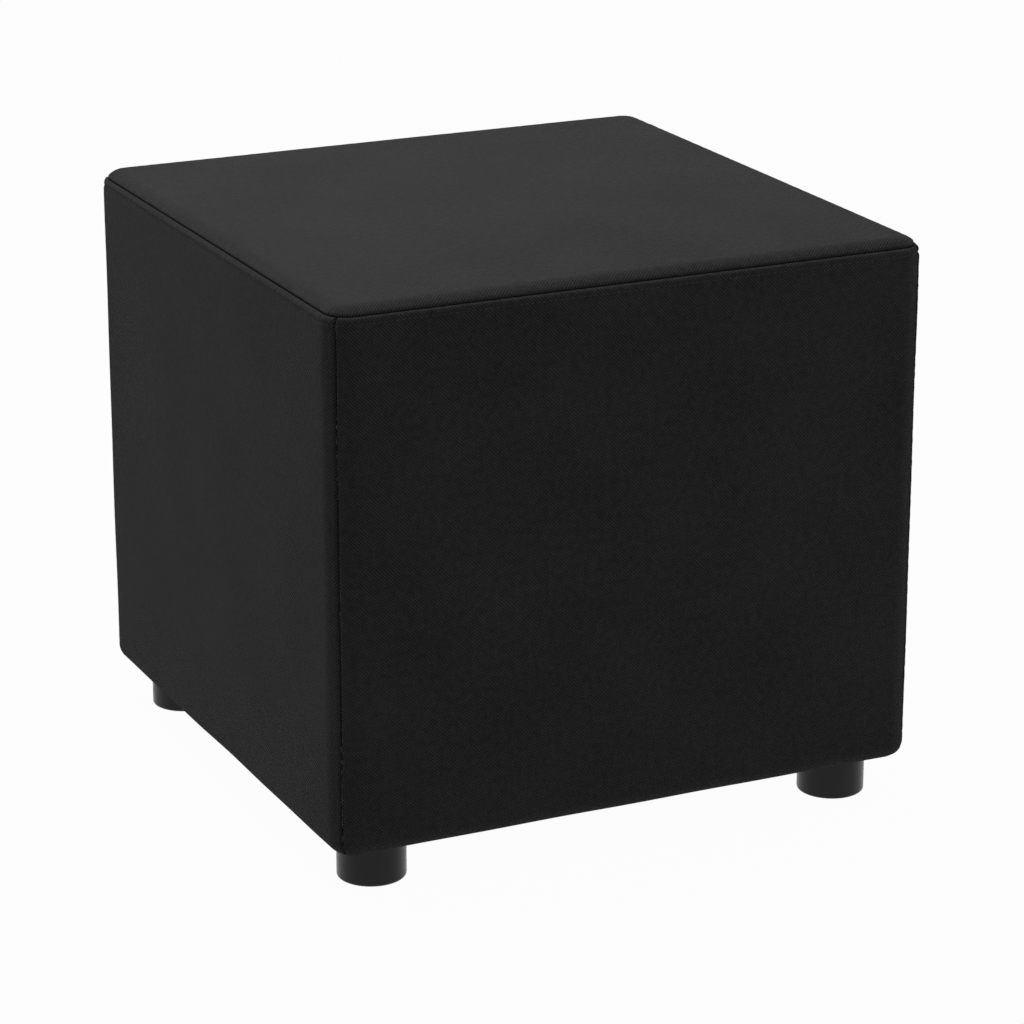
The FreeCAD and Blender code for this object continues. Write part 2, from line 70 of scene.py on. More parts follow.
class Side(Enum):
    """A side of the cube, in the order in which its outline runs round."""

    FRONT = 0
    RIGHT = 1
    BACK = 2
    LEFT = 3

    @property
    def word(self) -> str:
        """The side's name in lower case, as in the names of pieces."""
        return self.name.lower()


OUTWARD = np.array([(0, -1), (1, 0), (0, 1), (-1, 0)], float)
ALONG = np.array([(1, 0), (0, 1), (-1, 0), (0, -1)], float)


# ---------------------------------------------------------------------------------------------
# Materials
# ---------------------------------------------------------------------------------------------


def linear(hex_colour: str) -> tuple[float, float, float, float]:
    """Turn an sRGB hex colour into linear RGBA.

    Args:
        hex_colour: Six hex digits, such as "1c1c1e".
    Returns:
        The linear colour with alpha 1.
    """
    parts = np.array([int(hex_colour[i:i + 2], 16) for i in (0, 2, 4)]) / 255
    low = parts / 12.92
    high = ((parts + 0.055) / 1.055) ** 2.4
    red, green, blue = np.where(parts <= 0.04045, low, high).tolist()
    return red, green, blue, 1.0


@dataclass
class Nodes:
    """A material's node tree, with one small method to add a node."""

    tree: bpy.types.NodeTree

    def add(self, kind: str, settings: dict | None = None, **links: object) -> bpy.types.Node:
        """Add a node, set its properties, and fill its inputs.

        Args:
            kind: The node's type, without the ShaderNode prefix.
            settings: Properties of the node itself.
            links: Inputs by name with underscores for spaces. i0, i1 and so on are inputs by number.
        Returns:
            The new node.
        """
        node = self.tree.nodes.new("ShaderNode" + kind)
        for name, value in (settings or {}).items():
            setattr(node, name, value)
        for name, value in links.items():
            key = int(name[1:]) if name[0] == "i" and name[1:].isdigit() else name.replace("_", " ")
            if isinstance(value, bpy.types.NodeSocket):
                self.tree.links.new(value, node.inputs[key])
            else:
                node.inputs[key].default_value = value
        return node

    def maths(self, operation: str, *values: object) -> bpy.types.NodeSocket:
        """The output of a Math node that works on the values in order."""
        inputs = {f"i{number}": value for number, value in enumerate(values)}
        return self.add("Math", {"operation": operation}, **inputs).outputs[0]

    def between(self, share: object, low: str, high: str) -> bpy.types.NodeSocket:
        """Mix two colours.

        Args:
            share: How far to go from the first to the second, as a number or a socket.
            low: First sRGB hex colour.
            high: Second sRGB hex colour.
        Returns:
            The socket of the mixed colour.
        """
        mix = self.add("Mix", {"data_type": "RGBA"}, Factor=share)
        mix.inputs[6].default_value = linear(low)
        mix.inputs[7].default_value = linear(high)
        return mix.outputs[2]


@dataclass(frozen=True)
class Finish:
    """What every finish shares: its name, colour and gloss.

    Each finish's build method adds its pattern, and returns the sockets for colour, roughness and normal.
    """

    name: str
    colour: str
    roughness: float = 0.6
    ior: float = 1.5
    metallic: float = 0.0
    sheen: float = 0.0
    sheen_roughness: float = 0.4
    coat: float = 0.0
    specular: float = 0.5

    def pattern(self, nodes: Nodes) -> dict[str, object]:
        """Give the shader inputs that vary over the surface. A plain finish has a faint mottle.

        Args:
            nodes: The material's nodes.
        Returns:
            Shader inputs by name, as sockets or plain values.
        """
        place = nodes.add("TexCoord").outputs["Object"]
        noise = nodes.add("TexNoise", Vector=place, Scale=60.0, Detail=4.0)
        rough = nodes.add("MapRange", Value=noise.outputs["Fac"], To_Min=self.roughness * 0.9,
                          To_Max=self.roughness * 1.1)
        return {"Base Color": linear(self.colour), "Roughness": rough.outputs["Result"]}

    def build(self) -> bpy.types.Material:
        """Make the Blender material.

        Returns:
            The material, or the one already made under this name.
        """
        if self.name in bpy.data.materials:
            return bpy.data.materials[self.name]
        material = bpy.data.materials.new(self.name)
        material.use_nodes = True
        tree = material.node_tree
        tree.nodes.clear()
        nodes = Nodes(tree)
        shader = nodes.add("BsdfPrincipled", IOR=self.ior, Metallic=self.metallic)
        shader.inputs["Specular IOR Level"].default_value = self.specular
        shader.inputs["Sheen Weight"].default_value = self.sheen
        shader.inputs["Sheen Roughness"].default_value = self.sheen_roughness
        shader.inputs["Coat Weight"].default_value = self.coat
        for name, value in self.pattern(nodes).items():
            if isinstance(value, bpy.types.NodeSocket):
                tree.links.new(value, shader.inputs[name])
            else:
                shader.inputs[name].default_value = value
        output = nodes.add("OutputMaterial")
        tree.links.new(shader.outputs["BSDF"], output.inputs["Surface"])
        material.diffuse_color = linear(self.colour)
        return material


@dataclass(frozen=True)
class Twill(Finish):
    """Woven 2/1 polyester twill: fine diagonal ribs of spun yarn, with uneven worn tone and a painted
    highlight on the rib crests.

    It gives the eye a matt black with a fine diagonal grain. The real ribs are about 1.3 mm apart, and they
    are drawn a little coarser, 1.4 mm apart, so that they show from two metres. They follow the cloth's own
    UV map, which is in metres, so the weave turns with each panel.
    """

    rib: float = 1.4 * MM
    yarn: float = 0.7 * MM
    # Paler colour for the worn patches and for the painted highlight on the rib crests.
    crest_highlight_and_wear: str = "3c3c3e"
    depth: float = 0.42 * MM

    def pattern(self, nodes: Nodes) -> dict[str, object]:
        """Ribs are a sine across the diagonal, broken along their length into floats of yarn.

        Args:
            nodes: The material's nodes.
        Returns:
            Shader inputs by name, as sockets or plain values.
        """
        cloth = nodes.add("UVMap", {"uv_map": "cloth"}).outputs["UV"]
        drift = nodes.add("TexNoise", Vector=cloth, Scale=90.0, Detail=2.0)
        centred = nodes.add("VectorMath", {"operation": "SUBTRACT"}, i0=drift.outputs["Color"],
                            i1=(0.5, 0.5, 0.5))
        small = nodes.add("VectorMath", {"operation": "SCALE"}, i0=centred.outputs["Vector"])
        small.inputs["Scale"].default_value = 0.6 * MM
        wandering = nodes.add("VectorMath", {"operation": "ADD"}, i0=cloth, i1=small.outputs["Vector"])
        axes = nodes.add("SeparateXYZ", Vector=wandering.outputs["Vector"])
        u, v = axes.outputs["X"], axes.outputs["Y"]
        across = nodes.maths("ADD", u, v)
        along = nodes.maths("SUBTRACT", u, v)
        turn = 2 * math.pi * math.sqrt(0.5)
        rib = self.wave(nodes, across, turn / self.rib)
        floats = self.wave(nodes, along, turn / self.yarn)
        warp = self.wave(nodes, u, 2 * math.pi / self.yarn)
        broken = nodes.maths("MULTIPLY", floats, warp)
        wear = nodes.add("TexNoise", Vector=cloth, Scale=240.0, Detail=2.0)
        plain = nodes.add("MapRange", Value=wear.outputs["Fac"], From_Min=0.35, From_Max=0.65, To_Min=0.45,
                          To_Max=1.0)
        rib = nodes.maths("MULTIPLY", rib, plain.outputs["Result"])
        height = nodes.maths("MULTIPLY_ADD", broken, 0.35, rib)
        fibre = nodes.add("TexNoise", Vector=cloth, Scale=1300.0, Detail=3.0, Roughness=0.75)
        height = nodes.maths("MULTIPLY_ADD", fibre.outputs["Fac"], 1.1, height)
        bump = nodes.add("Bump", Height=height, Strength=1.0, Distance=self.depth)
        patch = nodes.add("TexNoise", Vector=cloth, Scale=14.0, Detail=2.0, Roughness=0.5)
        slub = nodes.add("TexNoise", Vector=cloth, Scale=650.0, Detail=2.5, Roughness=0.6)
        uneven = nodes.maths("ADD", patch.outputs["Fac"], slub.outputs["Fac"])
        worn = nodes.add("MapRange", Value=uneven, From_Min=0.75, From_Max=1.25, To_Min=0.0,
                         To_Max=0.2)
        # Painted highlight: the colour is made paler on the rib crests, where light would catch them.
        ribs = nodes.add("MapRange", Value=height, From_Min=0.55, From_Max=1.75, To_Min=0.0, To_Max=0.9)
        blend = nodes.maths("ADD", worn.outputs["Result"], ribs.outputs["Result"])
        # The paler colour mixes real worn patches and slubs with the painted highlight on the rib crests.
        colour = nodes.between(blend, self.colour, self.crest_highlight_and_wear)
        return {"Base Color": colour, "Roughness": self.roughness, "Normal": bump.outputs["Normal"]}

    @staticmethod
    def wave(nodes: Nodes, value: bpy.types.NodeSocket, turns: float) -> bpy.types.NodeSocket:
        """Half a sine plus a half, of the value times so many radians per metre.

        Args:
            nodes: The material's nodes.
            value: What the wave runs along.
            turns: Radians per unit of it.
        Returns:
            A socket from 0 to 1.
        """
        phase = nodes.maths("MULTIPLY", value, turns)
        sine = nodes.maths("SINE", phase)
        return nodes.maths("MULTIPLY_ADD", sine, 0.5, 0.5)


@dataclass(frozen=True)
class NonWoven(Finish):
    """Spunbond polypropylene: thin bonded fibre with rows of pressed points 1.6 mm apart."""

    point: float = 1.6 * MM

    def pattern(self, nodes: Nodes) -> dict[str, object]:
        """Pressed points are a sine product on all three axes, over stringy noise.

        Args:
            nodes: The material's nodes.
        Returns:
            Shader inputs by name, as sockets or plain values.
        """
        place = nodes.add("TexCoord").outputs["Object"]
        axes = nodes.add("SeparateXYZ", Vector=place)
        turn = 2 * math.pi / self.point
        waves = [Twill.wave(nodes, axes.outputs[name], turn) for name in ("X", "Y", "Z")]
        pair = nodes.maths("ADD", waves[0], waves[1])
        dots = nodes.maths("ADD", pair, waves[2])
        fibre = nodes.add("TexNoise", Vector=place, Scale=900.0, Detail=4.0, Distortion=1.5)
        height = nodes.maths("MULTIPLY_ADD", dots, 0.4, fibre.outputs["Fac"])
        bump = nodes.add("Bump", Height=height, Strength=0.6, Distance=0.1 * MM)
        tone = nodes.add("MapRange", Value=fibre.outputs["Fac"], From_Min=0.3, From_Max=0.7, To_Min=0.0,
                         To_Max=0.5)
        colour = nodes.between(tone.outputs["Result"], self.colour, "3a3a3d")
        return {"Base Color": colour, "Roughness": self.roughness, "Normal": bump.outputs["Normal"]}


@dataclass(frozen=True)
class Moulded(Finish):
    """Injection-moulded ABS: smooth, with the faint ripple of a polished mould and fine rubbing."""

    ripple: float = 0.02 * MM

    def pattern(self, nodes: Nodes) -> dict[str, object]:
        """A long soft ripple bends the gloss, and fine noise roughens it in patches.

        Args:
            nodes: The material's nodes.
        Returns:
            Shader inputs by name, as sockets or plain values.
        """
        place = nodes.add("TexCoord").outputs["Object"]
        long_wave = nodes.add("TexNoise", Vector=place, Scale=70.0, Detail=1.0)
        bump = nodes.add("Bump", Height=long_wave.outputs["Fac"], Strength=0.25, Distance=self.ripple)
        rub = nodes.add("TexNoise", Vector=place, Scale=420.0, Detail=6.0, Roughness=0.7)
        rough = nodes.add("MapRange", Value=rub.outputs["Fac"], From_Min=0.35, From_Max=0.75,
                          To_Min=self.roughness * 0.8, To_Max=self.roughness * 1.5)
        return {"Base Color": linear(self.colour), "Roughness": rough.outputs["Result"],
                "Normal": bump.outputs["Normal"]}


@dataclass(frozen=True)
class Particleboard(Finish):
    """Pressed wood chips 2 to 6 mm long in several browns, lightly sanded."""

    pale: str = "d8bd8f"
    dark: str = "8c6a43"

    def pattern(self, nodes: Nodes) -> dict[str, object]:
        """Chips are cells of a Voronoi pattern, each with its own tone.

        Args:
            nodes: The material's nodes.
        Returns:
            Shader inputs by name, as sockets or plain values.
        """
        place = nodes.add("TexCoord").outputs["Object"]
        warp = nodes.add("TexNoise", Vector=place, Scale=120.0, Detail=2.0)
        shifted = nodes.add("Mix", {"data_type": "VECTOR"}, Factor=0.006)
        nodes.tree.links.new(place, shifted.inputs[4])
        nodes.tree.links.new(warp.outputs["Color"], shifted.inputs[5])
        chips = nodes.add("TexVoronoi", Vector=shifted.outputs[1], Scale=260.0)
        tone = nodes.add("SeparateColor", Color=chips.outputs["Color"]).outputs[0]
        ramp = nodes.between(tone, self.dark, self.pale)
        bump = nodes.add("Bump", Height=chips.outputs["Distance"], Strength=0.4, Distance=0.2 * MM)
        return {"Base Color": ramp, "Roughness": self.roughness, "Normal": bump.outputs["Normal"]}


@dataclass(frozen=True)
class Timber(Finish):
    """Planed pine: pale, with darker growth rings a few millimetres apart."""

    late: str = "b98a50"
    ring: float = 5.0 * MM

    def pattern(self, nodes: Nodes) -> dict[str, object]:
        """Rings are a distorted band wave, crossed by fine fibre noise.

        Args:
            nodes: The material's nodes.
        Returns:
            Shader inputs by name, as sockets or plain values.
        """
        place = nodes.add("TexCoord").outputs["Object"]
        stretched = nodes.add("Mapping", Vector=place, Scale=(1.0, 1.0, 0.12))
        rings = nodes.add("TexWave", {"wave_type": "RINGS", "rings_direction": "Z"},
                          Vector=stretched.outputs["Vector"], Scale=0.3 / self.ring / 2, Distortion=3.0,
                          Detail=2.0)
        fibre = nodes.add("TexNoise", Vector=stretched.outputs["Vector"], Scale=900.0, Detail=3.0)
        colour = nodes.between(rings.outputs["Fac"], self.colour, self.late)
        bump = nodes.add("Bump", Height=fibre.outputs["Fac"], Strength=0.3, Distance=0.1 * MM)
        return {"Base Color": colour, "Roughness": self.roughness, "Normal": bump.outputs["Normal"]}


@dataclass(frozen=True)
class Foam(Finish):
    """Open-cell polyurethane foam, cut with a wire: matt, pitted, a little yellowed."""

    cell: float = 0.9 * MM

    def pattern(self, nodes: Nodes) -> dict[str, object]:
        """Cells are a Voronoi pattern that pits the surface, with painted shade that darkens it in the pits.

        Args:
            nodes: The material's nodes.
        Returns:
            Shader inputs by name, as sockets or plain values.
        """
        place = nodes.add("TexCoord").outputs["Object"]
        cells = nodes.add("TexVoronoi", Vector=place, Scale=1 / self.cell)
        bump = nodes.add("Bump", Height=cells.outputs["Distance"], Strength=0.7, Distance=0.3 * MM)
        # Painted shade: the colour darkens towards the bottom of each pit, where shade falls.
        shade = nodes.add("MapRange", Value=cells.outputs["Distance"], To_Min=0.0, To_Max=1.0)
        colour = nodes.between(shade.outputs["Result"], "9a9078", self.colour)
        return {"Base Color": colour, "Roughness": self.roughness, "Normal": bump.outputs["Normal"]}


@dataclass(frozen=True)
class Tape(Finish):
    """Woven polyester zip tape: fine herringbone 0.8 mm wide."""

    step: float = 0.8 * MM

    def pattern(self, nodes: Nodes) -> dict[str, object]:
        """Bands on the object's axes stand for the herringbone.

        Args:
            nodes: The material's nodes.
        Returns:
            Shader inputs by name, as sockets or plain values.
        """
        place = nodes.add("TexCoord").outputs["Object"]
        bands = nodes.add("TexWave", {"bands_direction": "DIAGONAL"}, Vector=place, Scale=0.3 / self.step,
                          Distortion=0.5)
        bump = nodes.add("Bump", Height=bands.outputs["Fac"], Strength=0.5, Distance=0.1 * MM)
        return {"Base Color": linear(self.colour), "Roughness": self.roughness,
                "Normal": bump.outputs["Normal"]}


@dataclass(frozen=True)
class WornMetal(Finish):
    """Plated or lacquered metal: fine directionless scratches in the gloss."""

    scratch: float = 0.35

    def pattern(self, nodes: Nodes) -> dict[str, object]:
        """Stretched noise gives the scratches, and the gloss varies with it.

        Args:
            nodes: The material's nodes.
        Returns:
            Shader inputs by name, as sockets or plain values.
        """
        place = nodes.add("TexCoord").outputs["Object"]
        stretched = nodes.add("Mapping", Vector=place, Scale=(1.0, 8.0, 3.0))
        lines = nodes.add("TexNoise", Vector=stretched.outputs["Vector"], Scale=900.0, Detail=5.0)
        rough = nodes.add("MapRange", Value=lines.outputs["Fac"], From_Min=0.3, From_Max=0.7,
                          To_Min=self.roughness * (1 - self.scratch),
                          To_Max=self.roughness * (1 + self.scratch))
        bump = nodes.add("Bump", Height=lines.outputs["Fac"], Strength=0.15, Distance=0.03 * MM)
        return {"Base Color": linear(self.colour), "Roughness": rough.outputs["Result"],
                "Normal": bump.outputs["Normal"]}


# Cloth that takes nearly all the light: only its grain, its worn patches and a painted highlight on top of
# the ribs show.
COVER_TWILL = Twill("black_polyester_twill", "0a0a0b", roughness=0.92, sheen=0.08, sheen_roughness=0.5,
                    specular=0.2)
# Twisted black thread is a little glossier than the cloth, and its paler colour is a painted highlight where
# the stitches would catch the light, so a stitch line can just be seen.
THREAD_WITH_PAINTED_HIGHLIGHT = Finish("black_polyester_thread", "38383a", roughness=0.6, sheen=0.2)
# Smooth plastic gives one soft bright edge down each foot.
FOOT_PLASTIC = Moulded("moulded_black_abs", "080809", roughness=0.28, ior=1.53, specular=0.22)
# Pressed fibre gives a flat dark grey with a faint grid of points.
LINING_CLOTH = NonWoven("spunbond_polypropylene", "1c1c1e", roughness=0.8, sheen=0.1)
# Raw wood: flecked brown chips on the boards, and pale growth rings on the posts and ledges.
WALL_BOARD = Particleboard("sanded_particleboard", "c2a273", roughness=0.75)
PINE = Timber("planed_pine", "e0c08a", roughness=0.6)
# Both fills are pale and matt with small pits darkened by painted shade, and the wadding is the whiter and
# looser one.
PU_FOAM = Foam("cut_polyurethane_foam", "ddd3b4", roughness=0.95)
POLYESTER_WADDING = Foam("bonded_polyester_wadding", "e9e9e4", roughness=0.95, cell=2.2 * MM, sheen=0.3)
# The zip: dull woven tape, a glossy nylon coil, and lacquered metal with fine scratches.
ZIP_TAPE = Tape("woven_polyester_zip_tape", "0f0f10", roughness=0.75, sheen=0.2)
ZIP_NYLON = Moulded("drawn_nylon_coil", "0d0d0e", roughness=0.35, ior=1.53)
ZIP_METAL = WornMetal("black_lacquered_zinc", "101011", roughness=0.35, ior=1.5, coat=0.4)
# Bare fasteners: grey metal with soft scratched highlights.
ZINC_STEEL = WornMetal("zinc_plated_steel", "b9b9b4", roughness=0.32, metallic=1.0)
STAPLE_WIRE = WornMetal("galvanised_wire", "a8a8a6", roughness=0.4, metallic=1.0)

CAD_FINISHES = {
    "feet": FOOT_PLASTIC,
    "board": WALL_BOARD,
    "timber": PINE,
    "lining": LINING_CLOTH,
    "foam": PU_FOAM,
    "cover": COVER_TWILL,
    "zip_tape": ZIP_TAPE,
    "zip_coil": ZIP_NYLON,
    "zip_metal": ZIP_METAL,
    "screws": ZINC_STEEL,
    "staples": STAPLE_WIRE,
}


# ---------------------------------------------------------------------------------------------
# Meshes
# ---------------------------------------------------------------------------------------------


def grid_faces(rows: int, columns: int, close_columns: bool = False) -> np.ndarray:
    """Quads of a grid of points, row after row.

    Args:
        rows: Number of rows of points.
        columns: Number of points in a row.
        close_columns: Join the last point of each row to its first.
    Returns:
        An array of quads.
    """
    start = np.arange(rows - 1)[:, None] * columns
    here = np.arange(columns if close_columns else columns - 1)[None, :]
    after = (here + 1) % columns
    quads = np.stack([start + here, start + after, start + columns + after, start + columns + here], axis=-1)
    return quads.reshape(-1, 4)


def mesh_object(name: str, points: np.ndarray, faces: np.ndarray, uv: np.ndarray | None = None,
                smooth: bool = True) -> bpy.types.Object:
    """Make an object from points and quads.

    Args:
        name: The piece's name.
        points: N by 3 points in metres.
        faces: M by 4 point numbers.
        uv: N by 2 cloth coordinates in metres, put in the UV map "cloth".
        smooth: Shade smooth.
    Returns:
        The new object, linked to the scene.
    """
    mesh = bpy.data.meshes.new(name)
    mesh.vertices.add(len(points))
    mesh.vertices.foreach_set("co", np.asarray(points, np.float32).ravel())
    mesh.loops.add(faces.size)
    mesh.loops.foreach_set("vertex_index", faces.astype(np.int32).ravel())
    mesh.polygons.add(len(faces))
    starts = np.arange(len(faces), dtype=np.int32) * faces.shape[1]
    mesh.polygons.foreach_set("loop_start", starts)
    mesh.update(calc_edges=True)
    mesh.polygons.foreach_set("use_smooth", np.full(len(faces), smooth))
    if uv is not None:
        layer = mesh.uv_layers.new(name="cloth")
        layer.data.foreach_set("uv", uv[faces.ravel()].astype(np.float32).ravel())
    mesh.validate()
    thing = bpy.data.objects.new(name, mesh)
    bpy.context.collection.objects.link(thing)
    return thing


def spaced(stops: list[tuple[float, int]]) -> np.ndarray:
    """Numbers that run through the stops, each pair split evenly.

    Args:
        stops: (value, steps from the stop before). The first stop's steps are ignored.
    Returns:
        The values in order.
    """
    parts = [np.array([stops[0][0]])]
    for (low, _), (high, steps) in zip(stops, stops[1:]):
        parts.append(np.linspace(low, high, steps + 1)[1:])
    return np.concatenate(parts)


def bump_at(distance: np.ndarray, width: float) -> np.ndarray:
    """A round hill: e to the minus 4 ln 2 (distance / width) squared, so half as high at half a width."""
    return np.exp(-((distance / width) ** 2) * 2.77)


@dataclass(frozen=True)
class Form:
    """The upholstered cube's outer form, as the frame has it.

    A plan outline at an inset from the cube's sides is a rectangle with its corners rounded by what
    the inset leaves of the corner radius. A place on it is a side's number and u, which is within 1
    on the straight and runs out to 2 in the middle of a corner.
    """

    half_x: float
    half_y: float
    bottom: float
    top: float
    corner: float = 15 * MM
    top_radius: float = 11.5 * MM
    bottom_radius: float = 10 * MM
    seam_angle: float = math.radians(53.0)
    cloth: float = 1.2 * MM

    @property
    def seam_inset(self) -> float:
        """Inset of the top seam from the cube's sides."""
        return self.top_radius * (1 - math.sin(self.seam_angle))

    @property
    def seam_height(self) -> float:
        """Height of the top seam."""
        return self.top - self.top_radius * (1 - math.cos(self.seam_angle))

    def by_seam(self, out: float, down: float) -> tuple[float, float]:
        """Inset and height of a point by the seam, out from the cover's face and down along it.

        Args:
            out: Metres out from the cover's face.
            down: Metres down along it.
        Returns:
            Inset and height.
        """
        sine, cosine = math.sin(self.seam_angle), math.cos(self.seam_angle)
        return self.seam_inset - out * sine - down * cosine, self.seam_height + out * cosine - down * sine

    def straight(self, side: np.ndarray, corner: np.ndarray | float) -> np.ndarray:
        """Half the straight run of a side between its corners."""
        return np.where(np.asarray(side) % 2 == 0, self.half_x, self.half_y) - corner

    def outline(self, inset: np.ndarray, side: np.ndarray, u: np.ndarray,
                corner: np.ndarray | float | None = None) -> tuple[np.ndarray, np.ndarray]:
        """Plan points of the outline.

        Args:
            inset: Inset of each point.
            side: Side number of each point.
            u: Place along the side.
            corner: Corner radius at no inset, where it isn't the cube's own.
        Returns:
            X and Y of each point.
        """
        corner = self.corner if corner is None else corner
        side = np.asarray(side)
        flat = self.straight(side, corner)
        deep = self.straight(side + 1, corner)
        radius = np.maximum(corner - inset, 0)
        past = np.maximum(inset - corner, 0)
        turn = np.clip(np.abs(u) - 1, 0, 1) * math.pi / 4
        along = np.sign(u) * (np.minimum(np.abs(u), 1) * (flat - past) + radius * np.sin(turn))
        out = deep - past + radius * np.cos(turn)
        return (OUTWARD[side, 0] * out + ALONG[side, 0] * along,
                OUTWARD[side, 1] * out + ALONG[side, 1] * along)

    def facing(self, side: np.ndarray, u: np.ndarray) -> np.ndarray:
        """Outward direction in plan at each place, which turns evenly round the corners."""
        turn = (np.sign(u) * np.clip(np.abs(u) - 1, 0, 1) * math.pi / 4)[..., None]
        return OUTWARD[side] * np.cos(turn) + ALONG[side] * np.sin(turn)

    def run(self, side: np.ndarray, u: np.ndarray) -> np.ndarray:
        """Length along the outside of a side from its middle."""
        return np.sign(u) * (np.minimum(np.abs(u), 1) * self.straight(side, self.corner)
                             + np.clip(np.abs(u) - 1, 0, 1) * self.corner * math.pi / 4)

    def zip_path(self, per_side: int) -> tuple[np.ndarray, np.ndarray]:
        """Places from one back corner round the front to the other, where the zip runs.

        Args:
            per_side: Places on each straight.
        Returns:
            Side numbers and places.
        """
        straight = np.linspace(-1, 1, per_side)
        whole = np.concatenate([np.linspace(-2, -1, 24)[:-1], straight, np.linspace(1, 2, 24)[1:-1]])
        parts = [(Side.BACK, np.linspace(1, 2, 24)[:-1]), (Side.LEFT, whole), (Side.FRONT, whole),
                 (Side.RIGHT, whole), (Side.BACK, np.linspace(-2, -1, 24))]
        side = np.concatenate([np.full(len(u), s.value) for s, u in parts])
        return side, np.concatenate([u for _, u in parts])


def round_all(u: np.ndarray) -> tuple[np.ndarray, np.ndarray]:
    """The places of one side repeated round all four.

    Args:
        u: Places of one side, from -2, without the end that the next side starts with.
    Returns:
        Side numbers and places.
    """
    return np.repeat(np.arange(4), len(u)), np.tile(u, 4)


def closed_skin(name: str, shell: np.ndarray, ring: bool,
                cloth: np.ndarray | None = None) -> bpy.types.Object:
    """Close two sheets of points into one thin skin.

    Args:
        name: The piece's name.
        shell: The two sheets, 2 by rows by columns by 3. The one that faces out comes first.
        ring: The columns close on themselves.
        cloth: Cloth coordinates of a sheet, in metres.
    Returns:
        The new object.
    """
    _, rows, columns, _ = shell.shape
    count = rows * columns
    front = grid_faces(rows, columns, close_columns=ring)
    numbers = np.arange(count).reshape(rows, columns)
    if ring:
        edges = [(numbers[0], np.roll(numbers[0], -1)), (np.roll(numbers[-1], -1), numbers[-1])]
    else:
        rim = np.concatenate([numbers[0, :], numbers[1:, -1], numbers[-1, -2::-1], numbers[-2:0:-1, 0]])
        edges = [(rim, np.roll(rim, -1))]
    sides = np.concatenate([np.stack([b, a, a + count, b + count], axis=-1) for a, b in edges])
    uv = None if cloth is None else np.concatenate([cloth.reshape(-1, 2)] * 2)
    return mesh_object(name, shell.reshape(-1, 3), np.concatenate([front, front[:, ::-1] + count, sides]), uv)


def capped_skin(name: str, shell: np.ndarray, cloth: np.ndarray | None = None) -> bpy.types.Object:
    """Close two sheets of rings that shrink to a small hole in the middle, with a cap in each hole.

    Args:
        name: The piece's name.
        shell: The two sheets, 2 by rows by columns by 3, whose columns close on themselves.
        cloth: Cloth coordinates of a sheet, in metres.
    Returns:
        The new object.
    """
    _, rows, columns, _ = shell.shape
    count = rows * columns
    front = grid_faces(rows, columns, close_columns=True)
    rim = np.arange(columns)
    after = np.roll(rim, -1)
    sides = np.stack([after, rim, rim + count, after + count], axis=-1)
    last = count - columns + rim
    hub = np.full(columns // 2, 2 * count)
    cap = np.stack([last[0::2], last[1::2], np.roll(last, -2)[0::2], hub], axis=-1)
    under = cap[:, ::-1] + np.array([1] + [count] * 3)
    points = np.concatenate([shell.reshape(-1, 3), shell[:, -1].mean(axis=1)])
    uv = None
    if cloth is not None:
        uv = np.concatenate([cloth.reshape(-1, 2)] * 2 + [cloth[-1].mean(axis=0)[None]] * 2)
    return mesh_object(name, points, np.concatenate([front, front[:, ::-1] + count, sides, cap, under]), uv)


def finish_piece(piece: bpy.types.Object, finish: Finish, body: str,
                 nodes: tuple[str, ...] = ()) -> bpy.types.Object:
    """Give a piece its material and its body, and hide the CAD nodes that it stands for.

    Args:
        piece: The piece.
        finish: Its finish.
        body: The body it rides on.
        nodes: The CAD nodes it replaces.
    Returns:
        The piece.
    """
    piece.data.materials.append(finish.build())
    if nodes:
        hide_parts(*nodes)
    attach(piece, body)
    return piece


def gathers(along: np.ndarray, length: float, seed: float) -> np.ndarray:
    """Uneven gathers along a seam, from -1 to 1, as a sum of three sines.

    Args:
        along: Metres along the seam.
        length: Metres from one gather to the next.
        seed: A phase that differs from seam to seam.
    Returns:
        Heights.
    """
    turn = 2 * math.pi / length
    first = np.sin(along * turn + seed + 0.9 * np.sin(along * turn * 0.31 + seed))
    second = np.sin(along * turn * 1.73 + 2.1 * seed)
    return 0.5 * first + 0.3 * second + 0.2 * np.sin(along * turn * 0.57 + seed)


def swell(a: np.ndarray, b: np.ndarray, seed: float) -> np.ndarray:
    """Slow unevenness of padding under tight cloth, within 1, from sines of two directions."""
    return (0.45 * np.sin(a * 38 + seed) * np.sin(b * 31 + 1.7 * seed)
            + 0.3 * np.sin(a * 71 + b * 23 + seed * 0.7) + 0.25 * np.sin(b * 63 - a * 17 + seed * 2.3))


def lifted(form: Form, inset: np.ndarray, height: np.ndarray, out: np.ndarray, up: np.ndarray,
           side: np.ndarray, u: np.ndarray, lift: np.ndarray) -> np.ndarray:
    """Points moved off the form by a lift along its normal.

    Args:
        form: The form.
        inset: Inset of each point on it.
        height: Its height.
        out: How much of the lift goes outwards in plan.
        up: How much of it goes up.
        side: Side number.
        u: Place along the side.
        lift: Distance off the form.
    Returns:
        Rows by columns by 3 points.
    """
    x, y = form.outline(inset - lift * out, side, u)
    return np.stack([x, y, height + lift * up], axis=-1)


